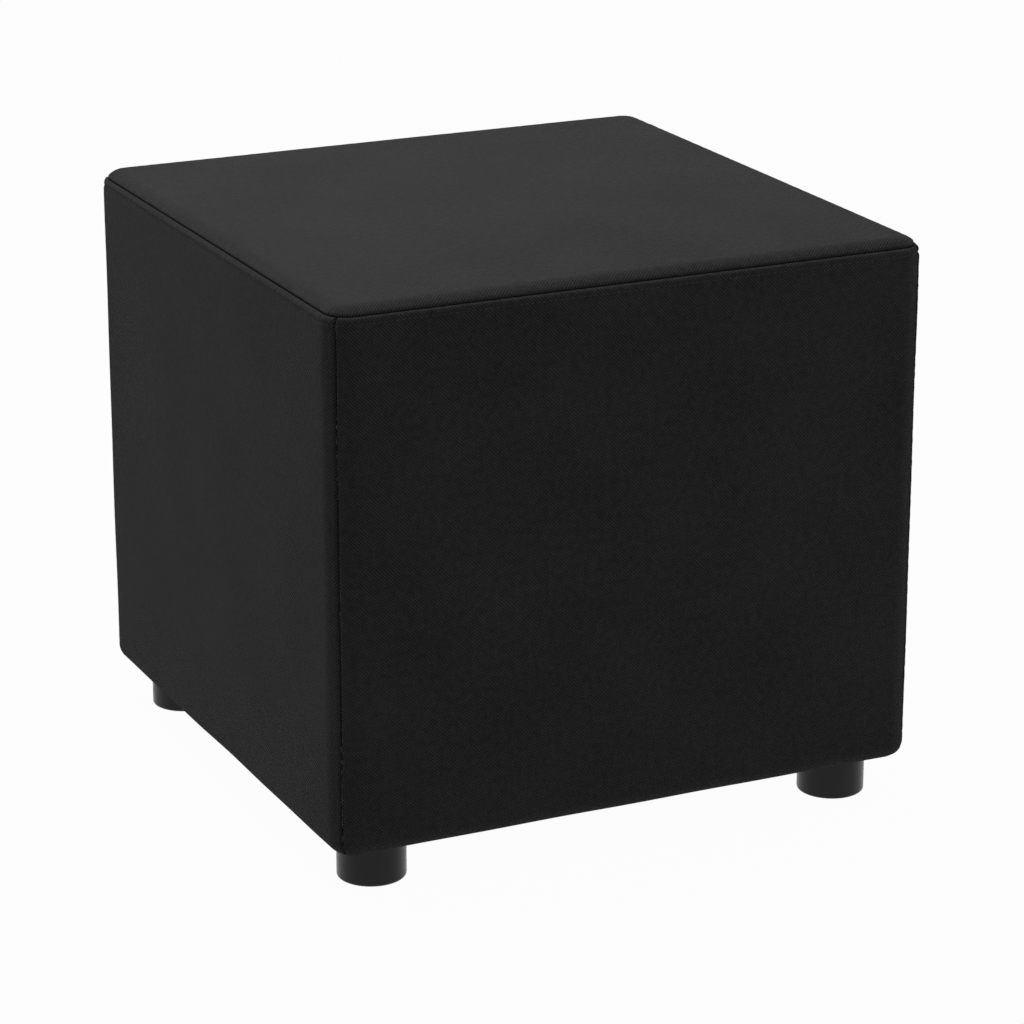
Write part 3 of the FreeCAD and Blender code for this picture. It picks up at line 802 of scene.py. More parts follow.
@dataclass
class SideCovers:
    """The four twill side panels, from the top seam down and turned under the base as a hem."""

    form: Form
    gather: float = 0.22 * MM
    gather_length: float = 7.5 * MM
    groove: float = 0.75 * MM
    stitch_drop: float = 4.6 * MM
    ridge: float = 0.5 * MM
    hem: float = 40 * MM
    seam_half: float = 0.35 * MM
    stitch_length: float = 2.5 * MM
    stitch_pitch: float = 3.4 * MM
    thread: float = 0.2 * MM

    def profile(self, length: np.ndarray) -> tuple[np.ndarray, np.ndarray, np.ndarray, np.ndarray]:
        """The panel's section: along the hem under the base, round, up, and round to the top seam.

        Args:
            length: Metres along the section from the hem's edge.
        Returns:
            Inset, height, and the outward and upward parts of the normal.
        """
        f = self.form
        quarter = math.pi / 2
        s1, s2, s3, _ = self.stops()
        low = np.clip((length - s1) / f.bottom_radius, 0, quarter)
        high = np.clip((length - s3) / f.top_radius, 0, quarter)
        inset = np.where(length < s1, self.hem - length, f.bottom_radius * (1 - np.sin(low)))
        inset = inset + f.top_radius * (1 - np.cos(high))
        height = f.bottom + f.bottom_radius * (1 - np.cos(low)) + np.clip(length - s2, 0, s3 - s2)
        height = height + f.top_radius * np.sin(high)
        angle = low - quarter + high
        return inset, height, np.cos(angle), np.sin(angle)

    def stops(self) -> tuple[float, float, float, float]:
        """Lengths along the section to the start and end of the bottom bend, then of the top bend.

        Returns:
            Four lengths in order.
        """
        f = self.form
        s1 = self.hem - f.bottom_radius
        s2 = s1 + f.bottom_radius * math.pi / 2
        s3 = s2 + f.top - f.top_radius - f.bottom - f.bottom_radius
        return s1, s2, s3, s3 + f.top_radius * (math.pi / 2 - f.seam_angle) - self.seam_half

    def lift(self, side: Side, along: np.ndarray, length: np.ndarray) -> np.ndarray:
        """Height of the cloth off the form.

        It dips along the stitch line, stands in a ridge between that and the seam, rolls in at the top
        and corner seams, and is gathered a little along both.

        Args:
            side: The side.
            along: Metres along the side from its middle.
            length: Metres along the section from the hem's edge.
        Returns:
            The lift of each point.
        """
        s1, _, _, end = self.stops()
        drop = end - length
        edge = self.form.run(np.array(side.value), np.array(2.0)) - np.abs(along)
        seed = 1.0 + side.value
        lift = swell(along, length, seed) * 0.3 * MM * np.clip(drop / (30 * MM), 0, 1)
        lift = lift + gathers(along, self.gather_length, seed) * self.gather * np.exp(-drop / (6 * MM))
        lift = lift + gathers(length, self.gather_length, seed + 4) * self.gather * np.exp(-edge / (4 * MM))
        even = 1 + 0.3 * gathers(along, 5.1 * MM, seed + 9)
        lift = lift - 1.2 * self.ridge * even * bump_at(drop - self.stitch_drop, 1.4 * MM)
        lift = lift + self.ridge * even * bump_at(drop - 0.5 * self.stitch_drop, 2.8 * MM)
        lift = lift - self.groove * bump_at(drop, 1.2 * MM)
        lift = lift - 2.4 * self.groove * bump_at(edge, 1.3 * MM)
        lift = lift + 0.4 * self.groove * bump_at(edge - 1.9 * MM, 1.8 * MM)
        return lift * np.where(length < s1, 0.0, 1.0)

    def panel(self, side: Side) -> bpy.types.Object:
        """One side panel: its section carried along the side from corner middle to corner middle.

        Args:
            side: The side.
        Returns:
            The piece.
        """
        s1, s2, s3, end = self.stops()
        length = spaced([(0, 0), (s1, 14), (s2, 16), (s3 - 4 * MM, 110), (end, 46)])
        u = spaced([(-2, 0), (-1.86, 8), (-1.5, 7), (-1, 7), (-0.94, 5), (0.94, 184), (1, 5), (1.5, 7),
                    (1.86, 7), (2, 8)])
        inset, height, out, up = (v[:, None] + 0 * u for v in self.profile(length))
        places = u + 0 * inset
        along = self.form.run(np.array(side.value), places)
        lengths = length[:, None] + 0 * u
        lift = self.lift(side, along, lengths)
        shell = np.stack([lifted(self.form, inset, height, out, up, side.value, places, drop)
                          for drop in (lift, 0.5 * lift - self.form.cloth)])
        turn = 1 if side in (Side.FRONT, Side.RIGHT) else -1
        cloth = np.stack([turn * along, lengths], -1)
        piece = closed_skin("cover_" + side.word + "_panel", shell, False, cloth)
        finish_piece(piece, COVER_TWILL, "frame", ("cover_" + side.word,))
        wide = 2 * float(self.form.run(np.array(side.value), np.array(2.0)))
        return piece

    def stitches(self) -> bpy.types.Object:
        """The stitch line under the seam: short four-sided lengths of thread that dive in at both ends.

        Returns:
            The piece.
        """
        end = self.stops()[3]
        boxes = []
        for side in Side:
            reach = float(self.form.run(np.array(side.value), np.array(1.9)))
            middles = np.arange(-reach, reach, self.stitch_pitch)[:, None, None]
            share = np.linspace(-0.5, 0.5, 5)[None, :, None]
            turn = (np.arange(4) * math.pi / 2 + math.pi / 4)[None, None, :]
            along = middles + share * self.stitch_length + 0 * turn
            arch = 1 - (2 * share) ** 2
            radius = self.thread * (0.35 + 0.65 * np.sqrt(arch)) + 0 * along
            straight = float(self.form.straight(side.value, self.form.corner))
            bend = self.form.corner * math.pi / 4
            u = np.sign(along) * (np.minimum(np.abs(along) / straight, 1)
                                  + np.clip((np.abs(along) - straight) / bend, 0, 1))
            down = self.stitch_drop + radius * np.cos(turn)
            inset, height, out, up = self.profile(end - down)
            lift = self.lift(side, along, end - down) + radius * np.sin(turn) + 0.1 * MM * arch
            boxes.append(lifted(self.form, inset, height, out, up, side.value, u, lift))
        points = np.concatenate(boxes)
        count = len(points)
        tube = grid_faces(5, 4, close_columns=True)
        one = np.concatenate([tube, [[3, 2, 1, 0]], [[16, 17, 18, 19]]])
        faces = (one[None] + 20 * np.arange(count)[:, None, None]).reshape(-1, 4)
        piece = mesh_object("cover_top_stitches", points.reshape(-1, 3), faces)
        # The thread's paler colour is a painted highlight.
        return finish_piece(piece, THREAD_WITH_PAINTED_HIGHLIGHT, "frame")

    def build(self) -> list[bpy.types.Object]:
        """Make the panels and their stitches."""
        return [self.panel(side) for side in Side] + [self.stitches()]


@dataclass
class Seat:
    """The lid's padded top: foam, wadding and the twill top panel, crowned a little by the foam."""

    form: Form
    rise: float = 2.3 * MM
    gather: float = 0.22 * MM
    groove: float = 0.75 * MM
    seam_half: float = 0.35 * MM
    cells: int = 58
    frames: int = 20
    side_inset: float = 6.2 * MM

    def crown(self) -> np.ndarray:
        """Share of the crown at each cell of a square over the seat, from a cloth simulation.

        A flat cloth pinned round its edge is blown up by pressure from below. The quick way, a product
        of two parabolas, has nearly the same shape.

        Returns:
            A square array from 0 at the edge to 1 in the middle.
        """
        line = np.linspace(-1, 1, self.cells + 1)
        x, y = np.meshgrid(line, line, indexing="xy")
        flat = np.stack([x * self.form.half_x, y * self.form.half_y, 0 * x], axis=-1)
        cloth = mesh_object("seat_cloth", flat.reshape(-1, 3), grid_faces(self.cells + 1, self.cells + 1))
        edge = np.flatnonzero((np.maximum(np.abs(x), np.abs(y)) > 0.999).ravel())
        cloth.vertex_groups.new(name="edge").add(edge.tolist(), 1.0, "REPLACE")
        settings = cloth.modifiers.new("cloth", "CLOTH").settings
        settings.vertex_group_mass = "edge"
        settings.use_pressure = True
        settings.uniform_pressure_force = 4.0
        settings.tension_stiffness = settings.compression_stiffness = 40.0
        settings.effector_weights.gravity = 0.0
        scene = bpy.context.scene
        for number in range(1, self.frames + 1):
            scene.frame_set(number)
        shaped = cloth.evaluated_get(bpy.context.evaluated_depsgraph_get())
        points = np.empty(3 * len(shaped.data.vertices))
        shaped.data.vertices.foreach_get("co", points)
        height = np.abs(points[2::3].reshape(x.shape))
        bpy.data.objects.remove(cloth)
        scene.frame_set(1)
        LOG.info("seat cloth rose %.1f mm", height.max() / MM)
        return height / height.max()

    def crown_at(self, crown: np.ndarray, x: np.ndarray, y: np.ndarray) -> np.ndarray:
        """The crown at plan points, blended between its cells.

        Args:
            crown: The square from the crown method.
            x: Plan places.
            y: Plan places.
        Returns:
            Heights over the flat top.
        """
        column = np.clip((x / self.form.half_x + 1) / 2 * self.cells, 0, self.cells - 1e-6)
        row = np.clip((y / self.form.half_y + 1) / 2 * self.cells, 0, self.cells - 1e-6)
        c, r = column.astype(int), row.astype(int)
        p, q = column - c, row - r
        low = crown[r, c] * (1 - p) + crown[r, c + 1] * p
        high = crown[r + 1, c] * (1 - p) + crown[r + 1, c + 1] * p
        return self.rise * (low * (1 - q) + high * q)

    def rings(self, inset: np.ndarray, side: np.ndarray, u: np.ndarray, inner: float,
              corner: np.ndarray | float | None = None) -> tuple[np.ndarray, np.ndarray]:
        """Plan points of rings that follow the outline to an inner inset, and then shrink evenly.

        Args:
            inset: Inset of each ring on the middle of a side.
            side: Side number of each column.
            u: Place of each column.
            inner: The inset from which rings are copies of one outline, made smaller.
            corner: Corner radius at no inset, where it isn't the cube's own.
        Returns:
            X and Y, rings by columns.
        """
        x, y = self.form.outline(np.minimum(inset, inner)[:, None], side, u, corner)
        half = min(self.form.half_x, self.form.half_y)
        scale = 1 - np.clip(inset - inner, 0, None) / (half - inner)
        return x * scale[:, None], y * scale[:, None]

    def cover(self, crown: np.ndarray) -> bpy.types.Object:
        """The top panel: rings from the seam up over the rounding, then in to the middle.

        Args:
            crown: The square from the crown method.
        Returns:
            The piece.
        """
        f = self.form
        arc = f.top_radius * f.seam_angle
        inner = f.top_radius
        half = min(f.half_x, f.half_y)
        end = arc + half - inner - 0.6 * MM
        rows = spaced([(self.seam_half, 0), (4 * MM, 18), (arc, 10), (arc + 20 * MM, 12), (end, 44)])
        angle = f.seam_angle - np.clip(rows / f.top_radius, 0, f.seam_angle)
        inset = inner * (1 - np.sin(angle)) + np.clip(rows - arc, 0, None)
        side, u = round_all(spaced([(-2, 0), (-1, 11), (-0.94, 4), (0.94, 96), (1, 4), (2, 11)])[:-1])
        x, y = self.rings(inset, side, u, inner)
        along = f.run(side, u) + 0.37 * side
        reach = rows[:, None]
        lift = gathers(along, 7.1 * MM, 7.0) * self.gather * np.exp(-reach / (6 * MM))
        lift = lift - self.groove * bump_at(reach, 1.3 * MM)
        uneven = swell(x, y, 2.0) * 0.25 * MM * np.clip(reach / (30 * MM), 0, 1)
        lift = lift + self.crown_at(crown, x, y) + uneven
        height = f.top - f.top_radius * (1 - np.cos(angle))
        face = f.facing(side, u)
        sheets = []
        for drop in (lift, 0.9 * lift - f.cloth):
            out = (drop * np.sin(angle)[:, None])[..., None]
            plan = np.stack([x, y], -1) + face * out
            level = height[:, None] + drop * np.cos(angle)[:, None]
            sheets.append(np.concatenate([plan, level[..., None]], -1))
        flat_inset = inset + np.where(rows < arc, inner - (arc - rows) - inset, 0)
        px, py = self.rings(flat_inset, side, u, inner)
        piece = capped_skin("cover_top_panel", np.stack(sheets), np.stack([-px, py], -1))
        finish_piece(piece, COVER_TWILL, "lid", ("cover_top",))
        return piece

    def wadding(self, crown: np.ndarray) -> bpy.types.Object:
        """The wadding over the foam: flat below, its top following the inside of the cover.

        Args:
            crown: The square from the crown method.
        Returns:
            The piece.
        """
        f = self.form
        low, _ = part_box("seat_wadding")
        base, top = low.z + 0.1 * MM, f.top - f.cloth - 0.4 * MM
        radius = top - (f.top - f.top_radius)
        share = spaced([(0, 0), (1, 10)])
        turn = math.acos(min(1.0, (f.top_radius - self.side_inset) / radius))
        bend = turn + share * (math.pi / 2 - turn)
        inset = np.concatenate([np.full(6, self.side_inset), f.top_radius - radius * np.cos(bend),
                                f.top_radius + spaced([(4 * MM, 0), (20 * MM, 4), (f.half_x - 13 * MM, 40)])])
        rise = f.top - f.top_radius + radius * np.sin(bend)
        edge = np.linspace(base + 0.8 * MM, rise[0] - 0.3 * MM, 6)
        height = np.concatenate([edge, rise, np.full(45, rise[-1])])
        side, u = round_all(spaced([(-2, 0), (-1, 6), (1, 50), (2, 6)])[:-1])
        corner = self.side_inset + 10 * MM
        x, y = self.rings(inset, side, u, f.top_radius + 2 * MM, corner)
        z = height[:, None] + 0.85 * self.crown_at(crown, x, y)
        upper = np.stack([x, y, z], -1)
        under_inset = np.maximum(inset, self.side_inset + 0.8 * MM)
        x, y = self.rings(under_inset, side, u, f.top_radius + 2 * MM, corner)
        lower = np.stack([x, y, np.full_like(x, base)], -1)
        piece = capped_skin("seat_wadding_pad", np.stack([upper, lower]))
        finish_piece(piece, POLYESTER_WADDING, "lid", ("seat_wadding",))
        return piece

    def foam(self) -> bpy.types.Object:
        """The foam block on the board, its cut edges eased by 2 mm.

        Returns:
            The piece.
        """
        f = self.form
        low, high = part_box("seat_foam")
        gap, ease = 0.1 * MM, 2 * MM
        side_inset = f.half_x - high.x + gap
        turn = spaced([(0, 0), (math.pi / 2, 5)])
        inset = np.concatenate([side_inset + ease * (1 - np.cos(turn)),
                                side_inset + ease + spaced([(3 * MM, 0), (f.half_x - 32 * MM, 30)])])
        rise = np.concatenate([ease * np.sin(turn), np.full(31, ease)])
        side, u = round_all(spaced([(-2, 0), (-1, 5), (1, 36), (2, 5)])[:-1])
        x, y = self.rings(inset, side, u, side_inset + ease, side_inset + 3 * MM)
        wave = swell(x, y, 5.0) * 0.2 * MM * np.clip((inset[:, None] - side_inset) / (20 * MM), 0, 1)
        upper = np.stack([x, y, high.z - gap - ease + rise[:, None] - np.abs(wave)], -1)
        lower = np.stack([x, y, low.z + gap + ease - rise[:, None] + np.abs(wave)], -1)
        piece = capped_skin("seat_foam_block", np.stack([upper, lower]))
        finish_piece(piece, PU_FOAM, "lid", ("seat_foam",))
        return piece

    def hinge_strip(self) -> bpy.types.Object:
        """The cloth strip inside the back seam, on which the lid swings: an arc carried along the seam.

        It lies just inside the top rounding, from a little below the seam to a little above it.

        Returns:
            The piece.
        """
        f = self.form
        half_wide, depths = 6 * MM, (1.28 * MM, 1.6 * MM)
        down = spaced([(half_wide, 0), (0.9 * MM, 6), (-0.9 * MM, 16), (-half_wide, 6)])
        angle = math.pi / 2 - f.seam_angle - down / f.top_radius
        run = f.half_x - f.corner - 0.6 * MM
        sheets = []
        for depth in depths:
            radius = f.top_radius - depth
            y = f.half_y - f.top_radius + radius * np.cos(angle)
            z = f.top - f.top_radius + radius * np.sin(angle)
            x = np.linspace(run, -run, 120)[None] + 0 * y[:, None]
            sheets.append(np.stack([x, y[:, None] + 0 * x, z[:, None] + 0 * x], -1))
        cloth = np.stack([sheets[0][..., 0], down[:, None] + 0 * sheets[0][..., 0]], -1)
        piece = closed_skin("hinge_strip_band", np.stack(sheets), False, cloth)
        piece.data.materials.append(COVER_TWILL.build())
        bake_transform(piece)
        return piece

    def build(self, crown: np.ndarray) -> list[bpy.types.Object]:
        """Make the three layers of the seat, and the strip it hangs from."""
        return [self.foam(), self.wadding(crown), self.cover(crown), self.hinge_strip()]


@dataclass
class Padding:
    """The thin foam on the outside of each wall, with its low lip that fills out the top edge."""

    form: Form
    gap: float = 0.25 * MM
    lip_inside: float = 4.35 * MM

    def pad(self, side: Side) -> bpy.types.Object:
        """One wall's pad: its outer face follows the inside of the cover and its inner face the wall.

        Args:
            side: The side.
        Returns:
            The piece.
        """
        f = self.form
        low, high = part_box(side.word + "_padding")
        wall_low, wall_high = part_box(side.word + "_wall")
        depth = (f.half_y + wall_low.y, f.half_x - wall_high.x, f.half_y - wall_high.y,
                 f.half_x + wall_low.x)[side.value]
        radius = f.top_radius - f.cloth - self.gap
        lip_top = high.z - 0.7 * MM
        spring = f.top - f.top_radius
        base = low.z + 0.2 * MM
        bottom_radius = f.bottom_radius - f.cloth - self.gap
        turn = np.concatenate([spaced([(-math.pi / 2, 0), (0, 9)]), np.zeros(60)])
        height = np.concatenate([f.bottom + f.bottom_radius + bottom_radius * np.sin(turn[:10]),
                                 spaced([(f.bottom + f.bottom_radius, 0), (wall_high.z, 60)])[1:]])
        height = np.maximum(height, base)
        outer_inset = np.where(turn < 0, f.bottom_radius - bottom_radius * np.cos(turn), f.cloth + self.gap)
        lip = spaced([(wall_high.z, 0), (lip_top, 8)])[1:]
        lip_outer = f.top_radius - np.sqrt(radius ** 2 - np.clip(lip - spring, 0, None) ** 2) + 0.6 * MM
        outer_inset = np.concatenate([outer_inset, lip_outer])
        height = np.concatenate([height, lip])
        inner_inset = np.concatenate([np.full(70, depth - 0.1 * MM), np.full(8, self.lip_inside)])
        inner_height = np.concatenate([height[:70], lip])
        inner_height[69] = wall_high.z - 0.05 * MM
        u = spaced([(-2, 0), (-1.02, 8), (-0.96, 2), (0.96, 60), (1.02, 2), (2, 8)])
        u = np.clip(u, -1.97, 1.97)
        wave = np.abs(swell(u[None, :] * 0.17, height[:, None], 3.0 + side.value)) * 0.15 * MM
        x, y = f.outline(outer_inset[:, None] + wave, side.value, u)
        outer = np.stack([x, y, height[:, None] + 0 * x], -1)
        corner = inner_inset[:, None] + np.where(inner_inset < 6 * MM, 9 * MM, 0.6 * MM)[:, None]
        x, y = f.outline(inner_inset[:, None], side.value, u, corner)
        inner = np.stack([x, y, inner_height[:, None] + 0 * x], -1)
        piece = closed_skin(side.word + "_padding_pad", np.stack([outer, inner]), False)
        finish_piece(piece, PU_FOAM, "frame", (side.word + "_padding",))
        return piece

    def build(self) -> list[bpy.types.Object]:
        """Make the four pads."""
        return [self.pad(side) for side in Side]


@dataclass
class Linings:
    """The black non-woven cloth: storage lining and floor, rim facing, lid lining and dust cover."""

    form: Form
    cloth: float = 0.5 * MM
    post: float = 28 * MM
    wrinkle: float = 0.5 * MM
    foot_gap: float = 0.5 * MM
    per_post_face: int = 7
    per_wall: int = 56

    def sheet(self, piece: bpy.types.Object, flat: tuple[float, float], held: str, area: float | None,
              body: str, node: str, rests_on: list[str]) -> bpy.types.Object:
        """Args:
            piece: The piece.
            flat: Its flat size. Not used.
            held: How it is held. Not used.
            area: Its flat area, where it has notches. Not used.
            body: The body it rides on.
            node: The CAD node it replaces.
            rests_on: What it lies against. Not used.
        Returns:
            The piece.
        """
        finish_piece(piece, LINING_CLOTH, body, (node,))
        return piece

    def notched(self, wall: np.ndarray, post: np.ndarray, per_run: int) -> np.ndarray:
        """Square outlines with a square post standing in each corner.

        Each side runs along its wall, then in along a post's face to the post's corner, then out along
        its other face.

        Args:
            wall: Half the distance between opposite walls, one for each row.
            post: Half the distance between opposite post faces, one for each row.
            per_run: Points along a wall.
        Returns:
            Rows by columns by 2 plan points, closed round.
        """
        wall, post = wall[:, None], post[:, None]
        share = np.linspace(-1, 1, per_run)[None]
        step = np.linspace(0, 1, self.per_post_face + 2)[1:-1][None]
        along = np.concatenate([share * post, post + 0 * step, post, wall * step + post * (1 - step)], axis=1)
        out = np.concatenate([wall + 0 * share, wall * (1 - step) + post * step, post, post + 0 * step],
                             axis=1)
        turned = [out[..., None] * OUTWARD[k] + along[..., None] * ALONG[k] for k in range(4)]
        return np.concatenate(turned, axis=1)

    def storage(self) -> bpy.types.Object:
        """The storage lining: down the walls, over the ledges and posts, and down to the floor.

        Its section gives, at each height, how far in the wall or ledge stands and how far the posts do.

        Returns:
            The piece.
        """
        low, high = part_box("storage_lining")
        ledge_low, ledge_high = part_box("lid_ledges")
        wall_s = high.x - 0.05 * MM
        floor_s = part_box("corner_posts")[1].x - self.post
        ledge_s = ledge_high.x - 18 * MM
        t = self.cloth
        z = np.concatenate([
            np.linspace(low.z + 0.1 * MM, ledge_low.z - 8 * MM, 60),
            [ledge_low.z - 3 * MM, ledge_low.z - 1.2 * MM, ledge_low.z - 0.7 * MM, ledge_low.z - 0.6 * MM],
            np.linspace(ledge_low.z, ledge_high.z, 8),
            [ledge_high.z + 0.35 * MM, ledge_high.z + 0.5 * MM, ledge_high.z + 0.6 * MM],
            np.linspace(ledge_high.z + 2 * MM, high.z - 0.1 * MM, 14)])
        under = [wall_s - 0.4 * MM, wall_s - 2 * MM, ledge_s + 6 * MM, ledge_s]
        over = [ledge_s + 0.2 * MM, ledge_s + 6 * MM, wall_s - MM]
        wall = np.concatenate([np.full(60, wall_s), under, np.full(8, ledge_s - 0.3 * MM), over,
                               np.full(14, wall_s)])
        post_top = [floor_s + 0.2 * MM, floor_s + 8 * MM, wall_s - 2 * MM]
        post = np.concatenate([np.full(72, floor_s), post_top, np.full(14, wall_s - 0.8 * MM)])
        between = 2 * self.per_post_face + 1
        sheets = []
        for grow in (t, 0.05 * MM):
            plan = self.notched(wall - grow, post - grow, self.per_wall)
            sheets.append(np.concatenate([plan, z[:, None, None] + 0 * plan[..., :1]], -1))
        inner = sheets[0]
        middle = np.clip(1 - np.abs(np.linspace(-1, 1, self.per_wall)), 0, 0.25) * 4
        ease = np.tile(np.concatenate([middle, np.zeros(between)]), 4)
        toward = np.repeat(-OUTWARD, self.per_wall + between, axis=0)
        wave = np.abs(swell(inner[..., 0] * 0.9 + inner[..., 1] * 0.9, inner[..., 2] * 0.8, 6.0))
        upright = np.clip((z - low.z) / (15 * MM), 0, 1) * (np.abs(wall - wall_s) < 0.1 * MM)
        inner[..., :2] += toward * (wave * ease * upright[:, None] * 3 * self.wrinkle)[..., None]
        shell = np.stack([sheets[1], inner])
        piece = closed_skin("storage_lining_cloth", shell[::-1, ::-1], True)
        around, tall = 8 * wall_s, high.z - low.z + 36 * MM
        return self.sheet(piece, (around, tall), "stretched", None, "frame", "storage_lining", ["front_wall"])

    def floor(self) -> bpy.types.Object:
        """The floor lining: rings of the notched outline, shrinking to the middle, with slight waves.

        Returns:
            The piece.
        """
        low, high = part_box("floor_lining")
        wall_s = high.x - 0.3 * MM
        post_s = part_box("corner_posts")[1].x - self.post - 0.3 * MM
        scale = np.linspace(1, 0.01, 44)
        plan = self.notched(wall_s * scale, post_s * scale, 40)
        x, y = plan[..., 0], plan[..., 1]
        wave = np.abs(swell(x * 1.1, y * 1.1, 9.0)) * 0.5 * MM * np.clip((1 - scale[:, None]) * 8, 0, 1)
        base = low.z + 0.05 * MM
        top = np.concatenate([plan, (base + self.cloth + wave)[..., None]], -1)
        under = np.concatenate([plan, np.full_like(x, base)[..., None]], -1)
        piece = capped_skin("floor_lining_cloth", np.stack([top, under]))
        area = 4 * wall_s ** 2 - 4 * (wall_s - post_s) ** 2
        flat = (2 * wall_s, 2 * wall_s)
        return self.sheet(piece, flat, "laid", area, "frame", "floor_lining", ["base_board"])

    def section_skin(self, name: str, inset: np.ndarray, height: np.ndarray, radius: np.ndarray,
                     u: np.ndarray, wrinkle: float, thickness: float) -> bpy.types.Object:
        """A thin skin whose section is carried all round the form.

        Args:
            name: The piece's name.
            inset: Insets along the section.
            height: Heights along it.
            radius: Corner radius at each point of it.
            u: Places of one side.
            wrinkle: Height of its slight waves.
            thickness: Of the cloth. It lies to the left of the section as it runs on.
        Returns:
            The new object.
        """
        slope = np.stack([np.gradient(inset), np.gradient(height)])
        slope = slope / np.linalg.norm(slope, axis=0)
        side, places = round_all(u)
        sheets = []
        for shift in (0.0, thickness):
            across = inset[:, None] * 3 + height[:, None] * 3
            wave = 0.0 if shift else wrinkle * np.abs(swell(self.form.run(side, places) + side, across, 4.0))
            ins = (inset - shift * slope[1])[:, None] + wave * slope[1][:, None]
            z = (height + shift * slope[0])[:, None] - wave * slope[0][:, None]
            x, y = self.form.outline(ins, side, places, ins + radius[:, None])
            sheets.append(np.stack([x, y, z + 0 * x], -1))
        return closed_skin(name, np.stack(sheets), True)

    def facing(self) -> bpy.types.Object:
        """The facing over the wall tops, which also goes up and over the padding's lip to the zip tape.

        Returns:
            The piece.
        """
        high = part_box("rim_facing")[1]
        pad_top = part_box("front_padding")[1].z
        inner = self.form.half_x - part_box("storage_lining")[1].x + 0.7 * MM
        lip, top = 4.9 * MM, pad_top - 0.05 * MM
        turn = spaced([(0, 0), (math.pi / 2, 4)])
        ease = 0.5 * MM
        inset = np.concatenate([np.linspace(inner, lip + MM, 14), lip + ease * (1 - np.sin(turn)), [lip],
                                lip - ease * (1 - np.cos(turn)), np.linspace(lip - 0.8 * MM, 2.2 * MM, 4)])
        face = high.z - 0.02 * MM
        height = np.concatenate([np.full(14, face), face + ease * (1 - np.cos(turn)), [(face + top) / 2],
                                 top - ease + ease * np.sin(turn), np.full(4, top)])
        radius = np.clip(self.form.corner - inset, 1.5 * MM, None)
        u = spaced([(-2, 0), (-1, 9), (1, 60), (2, 9)])[:-1]
        piece = self.section_skin("rim_facing_cloth", inset[::-1], height[::-1], radius[::-1], u, 0.0,
                                  self.cloth)
        wide = float(np.sum(np.hypot(np.diff(inset), np.diff(height))))
        around = 8 * (self.form.half_x - 0.5 * (inner + lip))
        return self.sheet(piece, (around, wide), "stretched", None, "frame", "rim_facing", ["front_wall"])

    def lid(self) -> bpy.types.Object:
        """The lid's lining: under the board, up its edge, out below the wadding and up its side.

        Returns:
            The piece.
        """
        low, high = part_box("lid_lining")
        f = self.form
        lid_side = f.half_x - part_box("lid_board")[1].x - 0.55 * MM
        rim = f.half_x - high.x
        ledge = high.z - 0.6 * MM
        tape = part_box("upper_zip_tape")[0].z - 0.3 * MM
        turn = spaced([(0, 0), (math.pi / 2, 5)])
        ease = 1.5 * MM
        middle = f.half_x - 1.5 * MM
        inset = np.concatenate([np.linspace(middle, lid_side + ease + MM, 60),
                                lid_side + ease * (1 - np.sin(turn)), np.full(8, lid_side),
                                lid_side - ease * (1 - np.cos(turn)),
                                np.linspace(lid_side - ease - MM, rim + ease + 0.3 * MM, 8),
                                rim + ease * (1 - np.sin(turn)), np.full(4, rim)])
        height = np.concatenate([np.full(60, low.z), low.z + ease * (1 - np.cos(turn)),
                                 np.linspace(low.z + ease + MM, ledge - ease - MM, 8),
                                 ledge - ease + ease * np.sin(turn), np.full(8, ledge),
                                 ledge + ease * (1 - np.cos(turn)), np.linspace(ledge + ease + MM, tape, 4)])
        u = spaced([(-2, 0), (-1, 9), (1, 60), (2, 9)])[:-1]
        side, places = round_all(u)
        radius = np.where(np.arange(len(inset)) < 77, 2 * MM, f.corner - rim)
        radius = np.convolve(np.pad(radius, 3, mode="edge"), np.ones(7) / 7, mode="valid")
        slope = np.stack([np.gradient(inset), np.gradient(height)])
        slope = slope / np.linalg.norm(slope, axis=0)
        sheets = []
        for shift in (0.0, self.cloth):
            ins, z = inset - shift * slope[1], height - shift * slope[0]
            bottom = np.minimum(ins, lid_side + ease)
            x, y = f.outline(bottom[:, None], side, places, (bottom + radius)[:, None])
            scale = 1 - np.clip(ins - lid_side - ease, 0, None) / (f.half_x - lid_side - ease)
            x, y = x * scale[:, None], y * scale[:, None]
            flat = np.clip((ins - lid_side - 2 * ease) / (10 * MM), 0, 1)[:, None]
            wave = np.abs(swell(x * 1.3, y * 1.3, 8.0)) * flat * self.wrinkle * (0.6 if shift == 0 else 0.0)
            sheets.append(np.stack([x, y, z[:, None] + wave], -1))
        shell = np.stack(sheets)[:, ::-1]
        piece = capped_skin("lid_lining_cloth", shell)
        wide = 2 * float(np.sum(np.hypot(np.diff(inset), np.diff(height))))
        return self.sheet(piece, (wide, wide), "stretched", None, "lid", "lid_lining", ["lid_board"])

